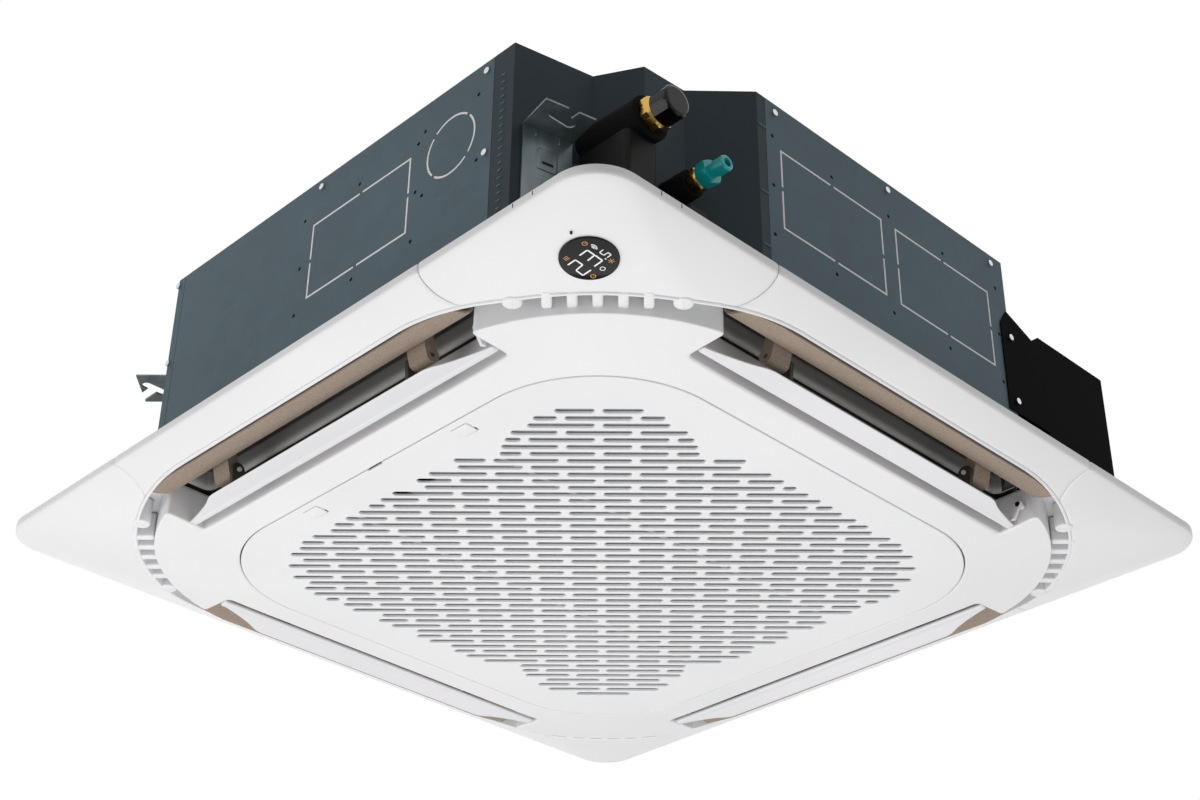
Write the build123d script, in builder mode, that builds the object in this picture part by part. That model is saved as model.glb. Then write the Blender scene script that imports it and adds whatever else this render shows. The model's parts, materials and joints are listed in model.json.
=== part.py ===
from build123d import *
import math
import os

# A ceiling cassette air conditioner. z = 0 is the ceiling surface: the casing stands above it in
# the ceiling void, and the panel hangs below it. The origin is at the middle of the panel, on the
# top of its rim. The sides are front (-Y), right (+X), back (+Y) and left (-X).

os.makedirs("parts", exist_ok=True)

# ---- Fits -------------------------------------------------------------------------------------
seat_gap = 0.3              # between a piece and what it is seated on
seam_gap = 0.6              # visible joint between two mouldings
running_fit = 0.05          # radial play of a pin or shaft in its bore

# ---- Casing -----------------------------------------------------------------------------------
casing_side = 840.0
casing_top = 262.7
sheet = 1.2
chamfer_leg = 158.0         # cut corners at the left and the back
box_chamfer_leg = 213.0     # larger cut corner that makes room for the control box
notch_steps = ((117.0, 0.0), (99.0, 87.5), (53.0, 113.0), (50.0, 166.0), (0.0, 218.0))
front_seam = 274.0          # where the front wall meets the pipe corner sheet
left_seam = -250.0          # where the front wall meets the left sheet
bead_height = 3.0           # stiffening beads of the top plate
flange_height = 14.0        # turned-down edge of the top plate
liner_thickness = 15.0
screw_head = 3.6
screw_shank = 1.9
slot_cut = 3.0              # width of the cuts round a knockout
bridge = 4.0                # uncut bridges that hold a knockout

# ---- Hangers ----------------------------------------------------------------------------------
hanger_x = 338.0
hanger_y = 388.0
hanger_z = 167.0
hanger_width = 55.0
hanger_plate = 2.0
hanger_slot = 32.0
hanger_bore = 6.0
hanger_tail = 16.0          # plate beyond the slot's centre
hanger_leg = 100.0
hanger_mouth = 11.5         # open side of the slot

# ---- Panel ------------------------------------------------------------------------------------
panel_overhang = 55.0       # panel beyond the casing on each side
rim_depth = 9.0
rim_corner = 46.0
brow_inset = 37.0
brow_depth = 24.5
brow_corner = 89.0
lip_inset = 70.0
lip_depth = 34.0
lip_corner = 154.0
panel_wall = 3.0
plate_thickness = 3.0
casing_recess = 0.8         # the plate under the casing lies this much below the ceiling
recess_margin = 8.0         # recess beyond the casing on each side
frame_width = 37.0          # rim to opening
opening_corner = 266.0
trim_width = 3.2
cover_reach = 248.0         # seams of the corner covers, from the middle of a side
clip_place = 385.0          # clip slots in the rim
clip_width = 14.0
outlet_width = 79.0         # opening edge to the inner edge of an outlet
outlet_length = 483.0
tab_gap = 24.0              # opening edge to the corner tabs of the centre panel
tab_corner = 229.0
tab_depth = 41.0
slot_edge_depth = 45.0
slot_edge_corner = 176.0
seam_inset = 37.0           # outlet edge to the grille seam
seam_corner = 140.0
seam_depth = 48.0
intake_wall = 12.0          # upstand round the grille opening

# ---- Vanes ------------------------------------------------------------------------------------
pivot_inset = 47.0          # opening edge to the vane pivot
pivot_depth = 24.0
vane_length = 480.0
vane_chord = 29.5
vane_tilt = 10.0
vane_thickness = 3.2
vane_nose_inset = 66.0      # opening edge to the vane's inner edge
vane_nose_depth = 40.5
vane_nose_radius = 2.6
vane_flat = 348.0           # straight part of the outer edge
arm_station = 140.5
arm_thickness = 5.0
arm_eye = 7.0               # radius of an arm round its pin
pin_radius = 2.5
drive_pin_radius = 3.0
bracket_gap = 1.0           # arm to bracket, along the side
bracket_length = 26.0
bracket_eye = 8.0
dome_radius = 9.0
dome_height = 3.0

# ---- Fins in the corner gaps ------------------------------------------------------------------
fin_width = 7.6
fin_pitch = 23.0
fin_count = 5
fin_depth = 36.0
boss_offset = 75.0
boss_radius = 9.0

# ---- Grille -----------------------------------------------------------------------------------
grille_gap = 1.0
grille_plate = 3.5
field_half = 273.0
field_corner = 100.0
row_pitch = 13.6
row_offset = 8.5
slot_length = 66.0
slot_width = 8.6
slot_period = 73.3
slot_start = 3.2
least_slot = 26.0          # shorter ends of a row are left closed
grille_rib = 8.0
latch_x = 118.0
latch_inset = 18.0          # grille seam to the middle of a latch
latch_length = 23.0
latch_width = 17.0
latch_travel = 5.0
tongue_width = 14.0
tongue_thickness = 2.4
hinge_x = 120.0
hinge_notch = 10.0
hinge_notch_depth = 4.4     # from the grille's back edge, more than the knuckle's reach
hinge_pin = 0.9
hinge_inset = 2.0           # grille's back edge to the hinge axis
hinge_rise = 1.4            # grille's underside to the hinge axis
filter_half = 296.0
filter_thickness = 8.0
filter_frame = 8.0
filter_notch = 54.0          # finger notch at the front of the mesh
filter_notch_x = -8.0
filter_notch_depth = 80.0

# ---- Display ----------------------------------------------------------------------------------
display_x = 388.0
display_y = -398.0
display_z = -23.6
display_radius = 27.5
display_tilt = 7.0
display_thickness = 3.0

# ---- Fan --------------------------------------------------------------------------------------
impeller_radius = 230.0
impeller_height = 126.0
impeller_drop = 58.5        # casing top to the impeller's upper disc
eye_radius = 168.0
blade_count = 7
blade_thickness = 3.0
shaft_radius = 7.0
motor_radius = 74.0
mount_height = 10.0
bell_throat = 160.0
bell_mouth_radius = 250.0
bell_top = 84.0

# ---- Coil, pan, pipes -------------------------------------------------------------------------
coil_inset = 85.0           # casing side to the coil
coil_thickness = 36.0
coil_corner = 130.0
coil_head = 22.7            # casing top to the coil's top
coil_end = 205.0            # coil ends each side of the pipe corner
pan_bottom = 6.0
pan_top = 50.0
trough_floor = 22.0
trough_margin = 10.0
bend_radius = 10.5
tube_radius = 4.7
gas_y = -327.0
gas_z = 170.0
gas_radius = 7.94
gas_foam_radius = 24.0
gas_foam_end = 395.0
liquid_y = -275.0
liquid_z = 118.0
liquid_radius = 4.76
liquid_foam_radius = 15.0
liquid_foam_end = 400.0
drain_radius = 16.0
drain_length = 38.0
drain_x = 356.0
drain_z = 80.0
pump_x = 292.0
pump_y = -318.0
pump_radius = 16.0
discharge_y = -326.0
discharge_z = 105.0
discharge_radius = 6.0
float_x = 330.0
float_y = -275.0
float_rod = 2.0
float_radius = 9.0

# ---- Control box ------------------------------------------------------------------------------
box_depth = 48.0
box_start = 262.0
box_end = 386.0
box_top = 188.0
box_bottom = 4.0

# ---- Worked out from the sizes above ----------------------------------------------------------
casing_half = casing_side / 2
panel_half = casing_half + panel_overhang
opening_half = panel_half - frame_width
outlet_edge = opening_half - outlet_width
outlet_half = outlet_length / 2
tab_half = opening_half - tab_gap
seam_half = outlet_edge - seam_inset
grille_half = seam_half - grille_gap
grille_corner = seam_corner - grille_gap
pivot = (opening_half - pivot_inset, -pivot_depth)
nose = (opening_half - vane_nose_inset, -vane_nose_depth)
tray_top = casing_top - bead_height
tray_under = tray_top - sheet
casing_bottom = seat_gap - casing_recess
plate_under = -plate_thickness
coil_half = casing_half - coil_inset
coil_top = casing_top - coil_head
tunnel = 60.0                # deeper than the panel, for cuts right through it

panel_sections = (
    (rim_depth, panel_half, rim_corner),
    (brow_depth, panel_half - brow_inset, brow_corner),
    (lip_depth, panel_half - lip_inset, lip_corner),
)
dome_sections = (
    (seam_depth, seam_half, seam_corner),
    (slot_edge_depth, outlet_edge, slot_edge_corner),
    (tab_depth, tab_half, tab_corner),
)
sides = {"front": 0, "right": 90, "back": 180, "left": 270}
corners = {"display": (1, -1), "left": (-1, -1), "right": (1, 1), "far": (-1, 1)}

pipe_steps = [(casing_half - inset_x, inset_y - casing_half) for inset_x, inset_y in notch_steps]
right_cut = (casing_half, casing_half - box_chamfer_leg)
back_cut = (casing_half - box_chamfer_leg, casing_half)
back_left = (chamfer_leg - casing_half, casing_half)
left_back = (-casing_half, casing_half - chamfer_leg)
left_front = (-casing_half, chamfer_leg - casing_half)
front_left = (chamfer_leg - casing_half, -casing_half)
casing_outline = [*pipe_steps, right_cut, back_cut, back_left, left_back, left_front, front_left]

front_face = Plane(origin=(0, -casing_half, 0), x_dir=(1, 0, 0), z_dir=(0, -1, 0))
right_face = Plane(origin=(casing_half, 0, 0), x_dir=(0, 1, 0), z_dir=(1, 0, 0))
pieces = {}


# ---- Helpers ----------------------------------------------------------------------------------
def inset_outline(points, inset, closed=True):
    """Corners of an anticlockwise outline, each moved inwards so that its edges move by inset."""
    count = len(points)
    moved = []
    for index, point in enumerate(points):
        here = Vector(*point)
        before = Vector(*points[index - 1]) if closed or index else None
        after = Vector(*points[(index + 1) % count]) if closed or index < count - 1 else None
        arriving = (here - before).normalized() if before is not None else None
        leaving = (after - here).normalized() if after is not None else arriving
        arriving = arriving if arriving is not None else leaving
        first = Vector(-arriving.Y, arriving.X)
        second = Vector(-leaving.Y, leaving.X)
        moved.append(here + (first + second) * (inset / (1 + first.dot(second))))
    return moved


def casing_plan(inset, mode=Mode.ADD):
    """The casing's plan, moved in by inset, in the current sketch."""
    with BuildLine() as outline:
        Polyline(*inset_outline(casing_outline, inset), close=True)
    make_face(outline.edges(), mode=mode)


def wall_strip(points):
    """Plan of one sheet that follows the outline, in the current sketch."""
    with BuildLine() as outline:
        Polyline(*points, *reversed(inset_outline(points, sheet, closed=False)), close=True)
    make_face(outline.edges())


def rounded_square(half, corner, mode=Mode.ADD):
    RectangleRounded(2 * half, 2 * half, corner, mode=mode)


def outward(turn):
    return Vector(0, -1, 0).rotate(Axis.Z, turn)


def sideways(turn):
    return Vector(1, 0, 0).rotate(Axis.Z, turn)


def section(turn, station=0.0):
    """Plane across one side of the unit: X runs outward, Y up, at a station along the side."""
    return Plane(
        origin=sideways(turn) * station,
        x_dir=outward(turn),
        z_dir=outward(turn).cross(Vector(0, 0, 1)),
    )


def knockout(left, right, low, high):
    """Cuts round a rectangular knockout, in the current sketch, with a bridge mid-way on each side."""
    middle = ((left + right) / 2, (low + high) / 2)
    width = right - left
    height = high - low
    with Locations(middle):
        Rectangle(width, height)
        Rectangle(width - 2 * slot_cut, height - 2 * slot_cut, mode=Mode.SUBTRACT)
        Rectangle(bridge, 2 * height, mode=Mode.SUBTRACT)
        Rectangle(2 * width, bridge, mode=Mode.SUBTRACT)


# ---- Casing walls -----------------------------------------------------------------------------
front_screws = [(264, 250), (266, 147), (3, 251), (-261, 254), (-260, 149)]
right_screws = [(3.5, 252), (-176, 250), (184, 250)]
front_holes = [
    (252, 228), (172, 228), (162, 218), (68.5, 219), (-23, 220), (-24, 158.6),
    (-25.5, 100), (68.5, 99), (160, 98), (162, 157), (173, 147), (253, 146),
]
right_holes = [
    (-180, 219), (-181, 157), (-182, 96.5), (-89, 218), (3, 218), (-90, 96),
    (0, 94), (95, 218), (190, 220), (188, 158), (186, 96), (93, 95),
]
hole_radius = 2.2
round_knockout = (213, 187)
round_knockout_radius = 36.5
ear_screws = [(206, 161), (206, 79)]


def drill(face, holes, screws):
    """Small holes and screw holes through a wall, square to its face."""
    with BuildSketch(face) as openings:
        for place in holes:
            with Locations(place):
                Circle(hole_radius)
        for place in screws:
            with Locations(place):
                Circle(screw_shank + running_fit)
    extrude(openings.sketch, amount=3 * sheet, both=True, mode=Mode.SUBTRACT)


seam_left = left_seam - seam_gap / 2
seam_right = front_seam + seam_gap / 2
right_seam = pipe_steps[4][1] + 12.0
wall_height = casing_top - casing_bottom

with BuildPart() as casing_front_wall:
    with BuildSketch(Plane.XY.offset(casing_bottom)):
        wall_strip([(seam_left + seam_gap, -casing_half), (seam_right - seam_gap, -casing_half)])
    extrude(amount=wall_height)
    with BuildSketch(front_face):
        knockout(-8, 152, 112, 207)
        with Locations(round_knockout):
            Circle(round_knockout_radius)
            Circle(round_knockout_radius - slot_cut, mode=Mode.SUBTRACT)
            Rectangle(bridge, 3 * round_knockout_radius, rotation=45, mode=Mode.SUBTRACT)
            Rectangle(bridge, 3 * round_knockout_radius, rotation=-45, mode=Mode.SUBTRACT)
    extrude(amount=3 * sheet, both=True, mode=Mode.SUBTRACT)
    drill(front_face, front_holes, front_screws)
pieces["casing_front_wall"] = casing_front_wall

with BuildPart() as casing_left_wall:
    with BuildSketch(Plane.XY.offset(casing_bottom)):
        wall_strip([left_back, left_front, front_left, (seam_left, -casing_half)])
    extrude(amount=wall_height)
    drill(front_face, front_holes, front_screws)
pieces["casing_left_wall"] = casing_left_wall

with BuildPart() as casing_back_wall:
    with BuildSketch(Plane.XY.offset(casing_bottom)):
        back_corner = Vector(*back_left) + (Vector(*left_back) - Vector(*back_left)).normalized() * (
            math.hypot(chamfer_leg, chamfer_leg) - seam_gap - sheet
        )
        wall_strip([back_cut, back_left, (back_corner.X, back_corner.Y)])
    extrude(amount=wall_height)
pieces["casing_back_wall"] = casing_back_wall

with BuildPart() as casing_right_wall:
    with BuildSketch(Plane.XY.offset(casing_bottom)):
        lap = (seam_gap + sheet) / math.sqrt(2)
        wall_strip([(casing_half, right_seam + seam_gap), right_cut, (back_cut[0] + lap, back_cut[1] - lap)])
    extrude(amount=wall_height)
    with BuildSketch(right_face):
        knockout(-169, -9, 110, 208)
        knockout(12, 175, 110, 208)
    extrude(amount=3 * sheet, both=True, mode=Mode.SUBTRACT)
    drill(right_face, right_holes, [*right_screws, *ear_screws])
pieces["casing_right_wall"] = casing_right_wall

with BuildPart() as casing_pipe_corner:
    with BuildSketch(Plane.XY.offset(casing_bottom)):
        wall_strip([(seam_right, -casing_half), *pipe_steps, (casing_half, right_seam)])
    extrude(amount=wall_height)
    with BuildSketch(Plane.YZ.offset(coil_end)):
        with Locations((gas_y, gas_z)):
            Circle(gas_foam_radius + seat_gap)
        with Locations((liquid_y, liquid_z)):
            Circle(liquid_foam_radius + seat_gap)
        with Locations((discharge_y, discharge_z)):
            Circle(discharge_radius + seat_gap)
    extrude(amount=casing_half - coil_end, mode=Mode.SUBTRACT)
    drill(front_face, [], front_screws)
pieces["casing_pipe_corner"] = casing_pipe_corner

tray_inset = sheet + seat_gap
with BuildPart() as casing_top_plate:
    with BuildSketch(Plane.XY.offset(tray_top - flange_height)):
        casing_plan(tray_inset)
        casing_plan(tray_inset + sheet, mode=Mode.SUBTRACT)
    extrude(amount=flange_height)
    with BuildSketch(Plane.XY.offset(tray_under)):
        casing_plan(tray_inset)
    extrude(amount=sheet)
    with BuildSketch(Plane.XY.offset(tray_top)):
        Circle(115)
        with PolarLocations(215, 4, start_angle=45):
            SlotOverall(160, 26)
        with PolarLocations(255, 4):
            SlotOverall(170, 22, rotation=90)
    extrude(amount=bead_height)
    with BuildSketch(Plane.XY.offset(tray_top)):
        Circle(70)
    extrude(amount=bead_height, mode=Mode.SUBTRACT)
    drill(front_face, [], front_screws)
    drill(right_face, [], right_screws)
pieces["casing_top_plate"] = casing_top_plate

shank_length = 2 * sheet + 2 * seat_gap - 0.1
with BuildPart() as casing_screws:
    for face, places in ((front_face, front_screws), (right_face, right_screws)):
        with BuildSketch(face):
            with Locations(*places):
                Circle(screw_head)
        extrude(amount=2.2)
        with BuildSketch(face):
            with Locations(*places):
                Circle(screw_shank)
        extrude(amount=-shank_length)
    with BuildSketch(right_face.offset(sheet + seat_gap)):
        with Locations(*ear_screws):
            Circle(screw_head)
    extrude(amount=2.2)
    with BuildSketch(right_face.offset(sheet + seat_gap)):
        with Locations(*ear_screws):
            Circle(screw_shank)
    extrude(amount=-shank_length)
pieces["casing_screws"] = casing_screws

liner_inset = tray_inset + sheet + seat_gap
with BuildPart() as casing_insulation:
    with BuildSketch(Plane.XY.offset(pan_top + seat_gap)):
        casing_plan(liner_inset)
        casing_plan(liner_inset + liner_thickness, mode=Mode.SUBTRACT)
        with Locations((casing_half, -casing_half)):
            Rectangle(2 * (casing_half - 285), 2 * (casing_half - 235), mode=Mode.SUBTRACT)
    extrude(amount=tray_under - pan_top - 2 * seat_gap)
pieces["casing_insulation"] = casing_insulation


# ---- Hangers ----------------------------------------------------------------------------------
def hanger(wall_point, normal, centre, open_to):
    """Angle bracket on a wall: a leg down the wall and a plate out to the slot."""
    normal = normal.normalized()
    out_plane = Plane(origin=(centre.X, centre.Y, hanger_z), x_dir=normal, z_dir=(0, 0, 1))
    reach = (centre - wall_point).dot(normal) - seat_gap
    with BuildSketch(out_plane) as plate:
        with Locations(((hanger_tail - reach) / 2, 0)):
            Rectangle(reach + hanger_tail, hanger_width)
    extrude(plate.sketch, amount=-hanger_plate)
    with BuildSketch(out_plane) as leg:
        with Locations((hanger_plate / 2 - reach, 0)):
            Rectangle(hanger_plate, hanger_width)
    extrude(leg.sketch, amount=-hanger_leg)
    with BuildSketch(Plane.XY.offset(hanger_z)) as slot:
        with Locations((centre.X, centre.Y)):
            SlotOverall(hanger_slot, 2 * hanger_bore, rotation=90)
        with Locations((centre.X + open_to * hanger_slot, centre.Y)):
            Rectangle(2 * hanger_slot, hanger_mouth)
    extrude(slot.sketch, amount=-hanger_plate, mode=Mode.SUBTRACT)


near_wall = Vector(*pipe_steps[1]) - Vector(*pipe_steps[0])
hanger_walls = (
    (Vector(*pipe_steps[0]), Vector(near_wall.Y, -near_wall.X), (1, -1)),
    (Vector(*front_left), Vector(-1, -1), (-1, -1)),
    (Vector(*back_cut), Vector(1, 1), (1, 1)),
    (Vector(*back_left), Vector(-1, 1), (-1, 1)),
)
with BuildPart() as hanger_brackets:
    for wall_point, normal, (sign_x, sign_y) in hanger_walls:
        hanger(wall_point, normal, Vector(sign_x * hanger_x, sign_y * hanger_y), sign_x)
pieces["hanger_brackets"] = hanger_brackets

# ---- Fan --------------------------------------------------------------------------------------
disc_top = casing_top - impeller_drop
disc_under = disc_top - 4.0
shroud_low = disc_top - impeller_height
hub_low = disc_top - 64.0
motor_top = tray_under - mount_height

with BuildPart() as impeller:
    with BuildSketch(Plane.XY.offset(shroud_low)):
        with PolarLocations(0, blade_count):
            with BuildLine():
                outer = ThreePointArc((eye_radius - 2, 0), (200, 22), (impeller_radius - 12, 70))
                offset(outer, amount=blade_thickness, side=Side.LEFT)
            make_face()
    extrude(amount=disc_under + 1 - shroud_low)
    with BuildSketch(Plane.XZ):
        with BuildLine():
            ThreePointArc(
                (eye_radius, shroud_low),
                (eye_radius + 22, shroud_low + 19),
                (impeller_radius + 15, shroud_low + 28),
            )
            Polyline(
                (impeller_radius + 15, shroud_low + 28),
                (impeller_radius + 15, shroud_low - 20),
                (eye_radius, shroud_low - 20),
                (eye_radius, shroud_low),
            )
        make_face()
    revolve(axis=Axis.Z, mode=Mode.SUBTRACT)
    with BuildSketch(Plane.XZ):
        with BuildLine():
            ThreePointArc(
                (eye_radius, shroud_low),
                (eye_radius + 22, shroud_low + 19),
                (impeller_radius, shroud_low + 27),
            )
            Line((impeller_radius, shroud_low + 27), (impeller_radius, shroud_low + 30))
            ThreePointArc(
                (impeller_radius, shroud_low + 30),
                (eye_radius + 20, shroud_low + 22),
                (eye_radius - 3, shroud_low),
            )
            Line((eye_radius - 3, shroud_low), (eye_radius, shroud_low))
        make_face()
    revolve(axis=Axis.Z)
    with BuildSketch(Plane.XZ):
        with BuildLine():
            Polyline(
                (shaft_radius + running_fit, hub_low),
                (20, hub_low),
                (20, hub_low + 10),
                (42, hub_low + 10),
                (88, disc_under),
                (impeller_radius, disc_under),
                (impeller_radius, disc_top),
                (86.4, disc_top),
                (40.3, hub_low + 14),
                (shaft_radius + running_fit, hub_low + 14),
                close=True,
            )
        make_face()
    revolve(axis=Axis.Z)
pieces["impeller"] = impeller

nut_height = 9.0
with BuildPart() as impeller_nut:
    with BuildSketch(Plane.XY.offset(hub_low - seat_gap - nut_height)):
        RegularPolygon(radius=11.5, side_count=6)
        Circle(shaft_radius + running_fit, mode=Mode.SUBTRACT)
    extrude(amount=nut_height)
pieces["impeller_nut"] = impeller_nut

motor_low = hub_low + 30.0
motor_step = disc_top + 4.0
shaft_top = motor_low + 34.0
with BuildPart() as motor_shaft:
    with BuildSketch(Plane.XY.offset(hub_low - nut_height - 6)):
        Circle(shaft_radius)
    extrude(amount=shaft_top - hub_low + nut_height + 6)
pieces["motor_shaft"] = motor_shaft

with BuildPart() as fan_motor:
    with BuildSketch(Plane.XY.offset(motor_low)):
        Circle(45)
    extrude(amount=motor_step - motor_low)
    with BuildSketch(Plane.XY.offset(motor_step)):
        Circle(motor_radius)
    extrude(amount=motor_top - motor_step)
    with BuildSketch(Plane.XY.offset(motor_top - 4)):
        Circle(motor_radius + 26)
    extrude(amount=4)
    with BuildSketch(Plane.XY.offset(motor_low)):
        Circle(shaft_radius + running_fit)
    extrude(amount=shaft_top + 1 - motor_low, mode=Mode.SUBTRACT)
pieces["fan_motor"] = fan_motor

with BuildPart() as motor_mounts:
    with BuildSketch(Plane.XY.offset(motor_top)):
        with PolarLocations(motor_radius + 14, 4, start_angle=45):
            Circle(9)
    extrude(amount=mount_height)
pieces["motor_mounts"] = motor_mounts

bell_low = pan_bottom - 2.0
with BuildPart() as bell_mouth:
    with BuildSketch(Plane.XY.offset(bell_low)):
        rounded_square(bell_mouth_radius + 25, 60)
        Circle(bell_mouth_radius - 1, mode=Mode.SUBTRACT)
    extrude(amount=2)
    with BuildSketch(Plane.XZ):
        with BuildLine():
            ThreePointArc((bell_mouth_radius, bell_low), (187, bell_low + 20), (bell_throat, bell_top - 14))
            Polyline(
                (bell_throat, bell_top - 14),
                (bell_throat, bell_top),
                (bell_throat + 2, bell_top),
                (bell_throat + 2, bell_top - 14),
            )
            ThreePointArc(
                (bell_throat + 2, bell_top - 14), (188.6, bell_low + 21.6), (bell_mouth_radius, bell_low + 2)
            )
            Line((bell_mouth_radius, bell_low + 2), (bell_mouth_radius, bell_low))
        make_face()
    revolve(axis=Axis.Z)
pieces["bell_mouth"] = bell_mouth

# ---- Coil -------------------------------------------------------------------------------------
coil_low = trough_floor + seat_gap
coil_middle = coil_half - coil_thickness / 2
with BuildPart() as coil:
    with BuildSketch(Plane.XY.offset(coil_low)):
        rounded_square(coil_half, coil_corner)
        rounded_square(coil_half - coil_thickness, coil_corner - coil_thickness, mode=Mode.SUBTRACT)
        with Locations((coil_half, -coil_half)):
            Rectangle(2 * (coil_half - coil_end), 2 * (coil_half - coil_end), mode=Mode.SUBTRACT)
    extrude(amount=coil_top - coil_low)
pieces["coil"] = coil

bend_rows = [50.0 + 42.0 * row for row in range(5)]
pipe_clear = 26.0
with BuildPart() as coil_bends:
    for row in bend_rows:
        if abs(row - gas_z) > pipe_clear:
            with BuildSketch(Plane.YZ.offset(coil_end)):
                with Locations((-coil_middle, row + bend_radius)):
                    Circle(tube_radius)
            revolve(axis=Axis((coil_end, -coil_middle, row), (0, 1, 0)), revolution_arc=180)
        if abs(row - liquid_z) > pipe_clear:
            with BuildSketch(Plane.XZ.offset(coil_end)):
                with Locations((coil_middle, row + bend_radius)):
                    Circle(tube_radius)
            revolve(axis=Axis((coil_middle, -coil_end, row), (1, 0, 0)), revolution_arc=180)
pieces["coil_bends"] = coil_bends

# ---- Drain pan --------------------------------------------------------------------------------
trough_outer = coil_half + trough_margin
trough_inner = coil_half - coil_thickness - trough_margin - 3
duct_inner = outlet_edge - 4.0
duct_outer = duct_inner + 50.0
duct_half = outlet_half + 3.5
screw_place = 296.0
panel_screw_radius = 3.0
with BuildPart() as duct_core:
    with BuildSketch(Plane.XY.offset(pan_bottom - 1)):
        with PolarLocations((duct_inner + duct_outer) / 2, 4):
            Rectangle(duct_outer - duct_inner, 2 * duct_half)
    extrude(amount=pan_top - pan_bottom + 2)
    with BuildSketch(Plane.XY.offset(pan_bottom - 1)):
        casing_plan(13)
    extrude(amount=pan_top - pan_bottom + 2, mode=Mode.INTERSECT)

with BuildPart() as drain_pan:
    with BuildSketch(Plane.XY.offset(pan_bottom)):
        casing_plan(sheet + seat_gap)
        Circle(bell_mouth_radius + 6, mode=Mode.SUBTRACT)
    extrude(amount=pan_top - pan_bottom)
    with BuildSketch(Plane.XY.offset(trough_floor)):
        rounded_square(trough_outer, coil_corner + trough_margin)
        rounded_square(trough_inner, coil_corner - coil_thickness - trough_margin - 3, mode=Mode.SUBTRACT)
        with Locations((pump_x, pump_y)):
            Circle(pump_radius + 6)
        with Locations((float_x, float_y)):
            Circle(float_radius + 4)
    extrude(amount=pan_top - trough_floor, mode=Mode.SUBTRACT)
    add(duct_core.part, mode=Mode.SUBTRACT)
    with BuildSketch(Plane.XY.offset(casing_bottom)):
        with GridLocations(2 * screw_place, 2 * screw_place, 2, 2):
            Circle(8)
    extrude(amount=pan_bottom - casing_bottom)
    with BuildSketch(Plane.XY.offset(casing_bottom)):
        with GridLocations(2 * screw_place, 2 * screw_place, 2, 2):
            Circle(panel_screw_radius + running_fit)
    extrude(amount=trough_floor - 4 - casing_bottom, mode=Mode.SUBTRACT)
pieces["drain_pan"] = drain_pan

with BuildPart() as drain_pump:
    with BuildSketch(Plane.XY.offset(trough_floor + seat_gap)):
        with Locations((pump_x, pump_y)):
            Circle(pump_radius)
    extrude(amount=98)
    with BuildSketch(Plane.YZ.offset(pump_x)):
        with Locations((discharge_y, discharge_z)):
            Circle(discharge_radius)
    extrude(amount=56)
    with BuildSketch(Plane.YZ.offset(pump_x)):
        with Locations((discharge_y, discharge_z)):
            Circle(discharge_radius - 1.5)
    extrude(amount=56, mode=Mode.SUBTRACT)
pieces["drain_pump"] = drain_pump

with BuildPart() as float_switch:
    for low, high, radius in ((0, 2, 6), (2, 34, float_rod), (34, 38, 5)):
        with BuildSketch(Plane.XY.offset(trough_floor + seat_gap + low)):
            with Locations((float_x, float_y)):
                Circle(radius)
        extrude(amount=high - low)
pieces["float_switch"] = float_switch

with BuildPart() as float_ball:
    with BuildSketch(Plane.XY.offset(trough_floor + 2 * seat_gap + 2)):
        with Locations((float_x, float_y)):
            Circle(float_radius)
            Circle(float_rod + 4 * running_fit, mode=Mode.SUBTRACT)
    extrude(amount=14)
pieces["float_ball"] = float_ball

block_top = gas_z - gas_foam_radius - seat_gap
with BuildPart() as drain_outlet:
    with BuildSketch(Plane.XY.offset(trough_floor)):
        with Locations((drain_x, -333)):
            RectangleRounded(68, 42, 6)
        casing_plan(-seat_gap, mode=Mode.SUBTRACT)
    extrude(amount=block_top - trough_floor)
    with BuildSketch(Plane.XZ.offset(350)):
        with Locations((drain_x, drain_z)):
            Circle(drain_radius)
    extrude(amount=4 + drain_length)
    with BuildSketch(Plane.XZ.offset(340)):
        with Locations((drain_x, drain_z)):
            Circle(drain_radius - 3)
    extrude(amount=14 + drain_length, mode=Mode.SUBTRACT)
    with BuildSketch(Plane.YZ.offset(pump_x)):
        with Locations((discharge_y, discharge_z)):
            Circle(discharge_radius + running_fit)
    extrude(amount=58, mode=Mode.SUBTRACT)
pieces["drain_outlet"] = drain_outlet

# ---- Refrigerant stubs ------------------------------------------------------------------------
gas_nut_length = 12.7
gas_nut_radius = 16.5
gas_cap_length = 22.0
gas_cap_radius = 17.5
gas_foam_start = 300.0
with BuildPart() as gas_pipe:
    with BuildSketch(Plane.YZ.offset(coil_end)):
        with Locations((gas_y, gas_z)):
            Circle(gas_radius)
            Circle(gas_radius - 1, mode=Mode.SUBTRACT)
    extrude(amount=gas_foam_end + gas_nut_length - coil_end)
pieces["gas_pipe"] = gas_pipe

with BuildPart() as gas_insulation:
    with BuildSketch(Plane.YZ.offset(gas_foam_start)):
        with Locations((gas_y, gas_z)):
            Circle(gas_foam_radius)
            Circle(gas_radius + running_fit, mode=Mode.SUBTRACT)
    extrude(amount=gas_foam_end - gas_foam_start)
pieces["gas_insulation"] = gas_insulation

with BuildPart() as gas_nut:
    with BuildSketch(Plane.YZ.offset(gas_foam_end + seat_gap)):
        with Locations((gas_y, gas_z)):
            RegularPolygon(radius=gas_nut_radius, side_count=6, major_radius=False)
            Circle(gas_radius + running_fit, mode=Mode.SUBTRACT)
    extrude(amount=gas_nut_length)
pieces["gas_nut"] = gas_nut

with BuildPart() as gas_cap:
    with BuildSketch(Plane.YZ.offset(gas_foam_end + gas_nut_length + 2 * seat_gap)):
        with Locations((gas_y, gas_z)):
            RegularPolygon(radius=gas_cap_radius, side_count=12)
    extrude(amount=gas_cap_length)
    chamfer(gas_cap.faces().sort_by(Axis.X)[-1].edges(), length=1.5)
pieces["gas_cap"] = gas_cap

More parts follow.
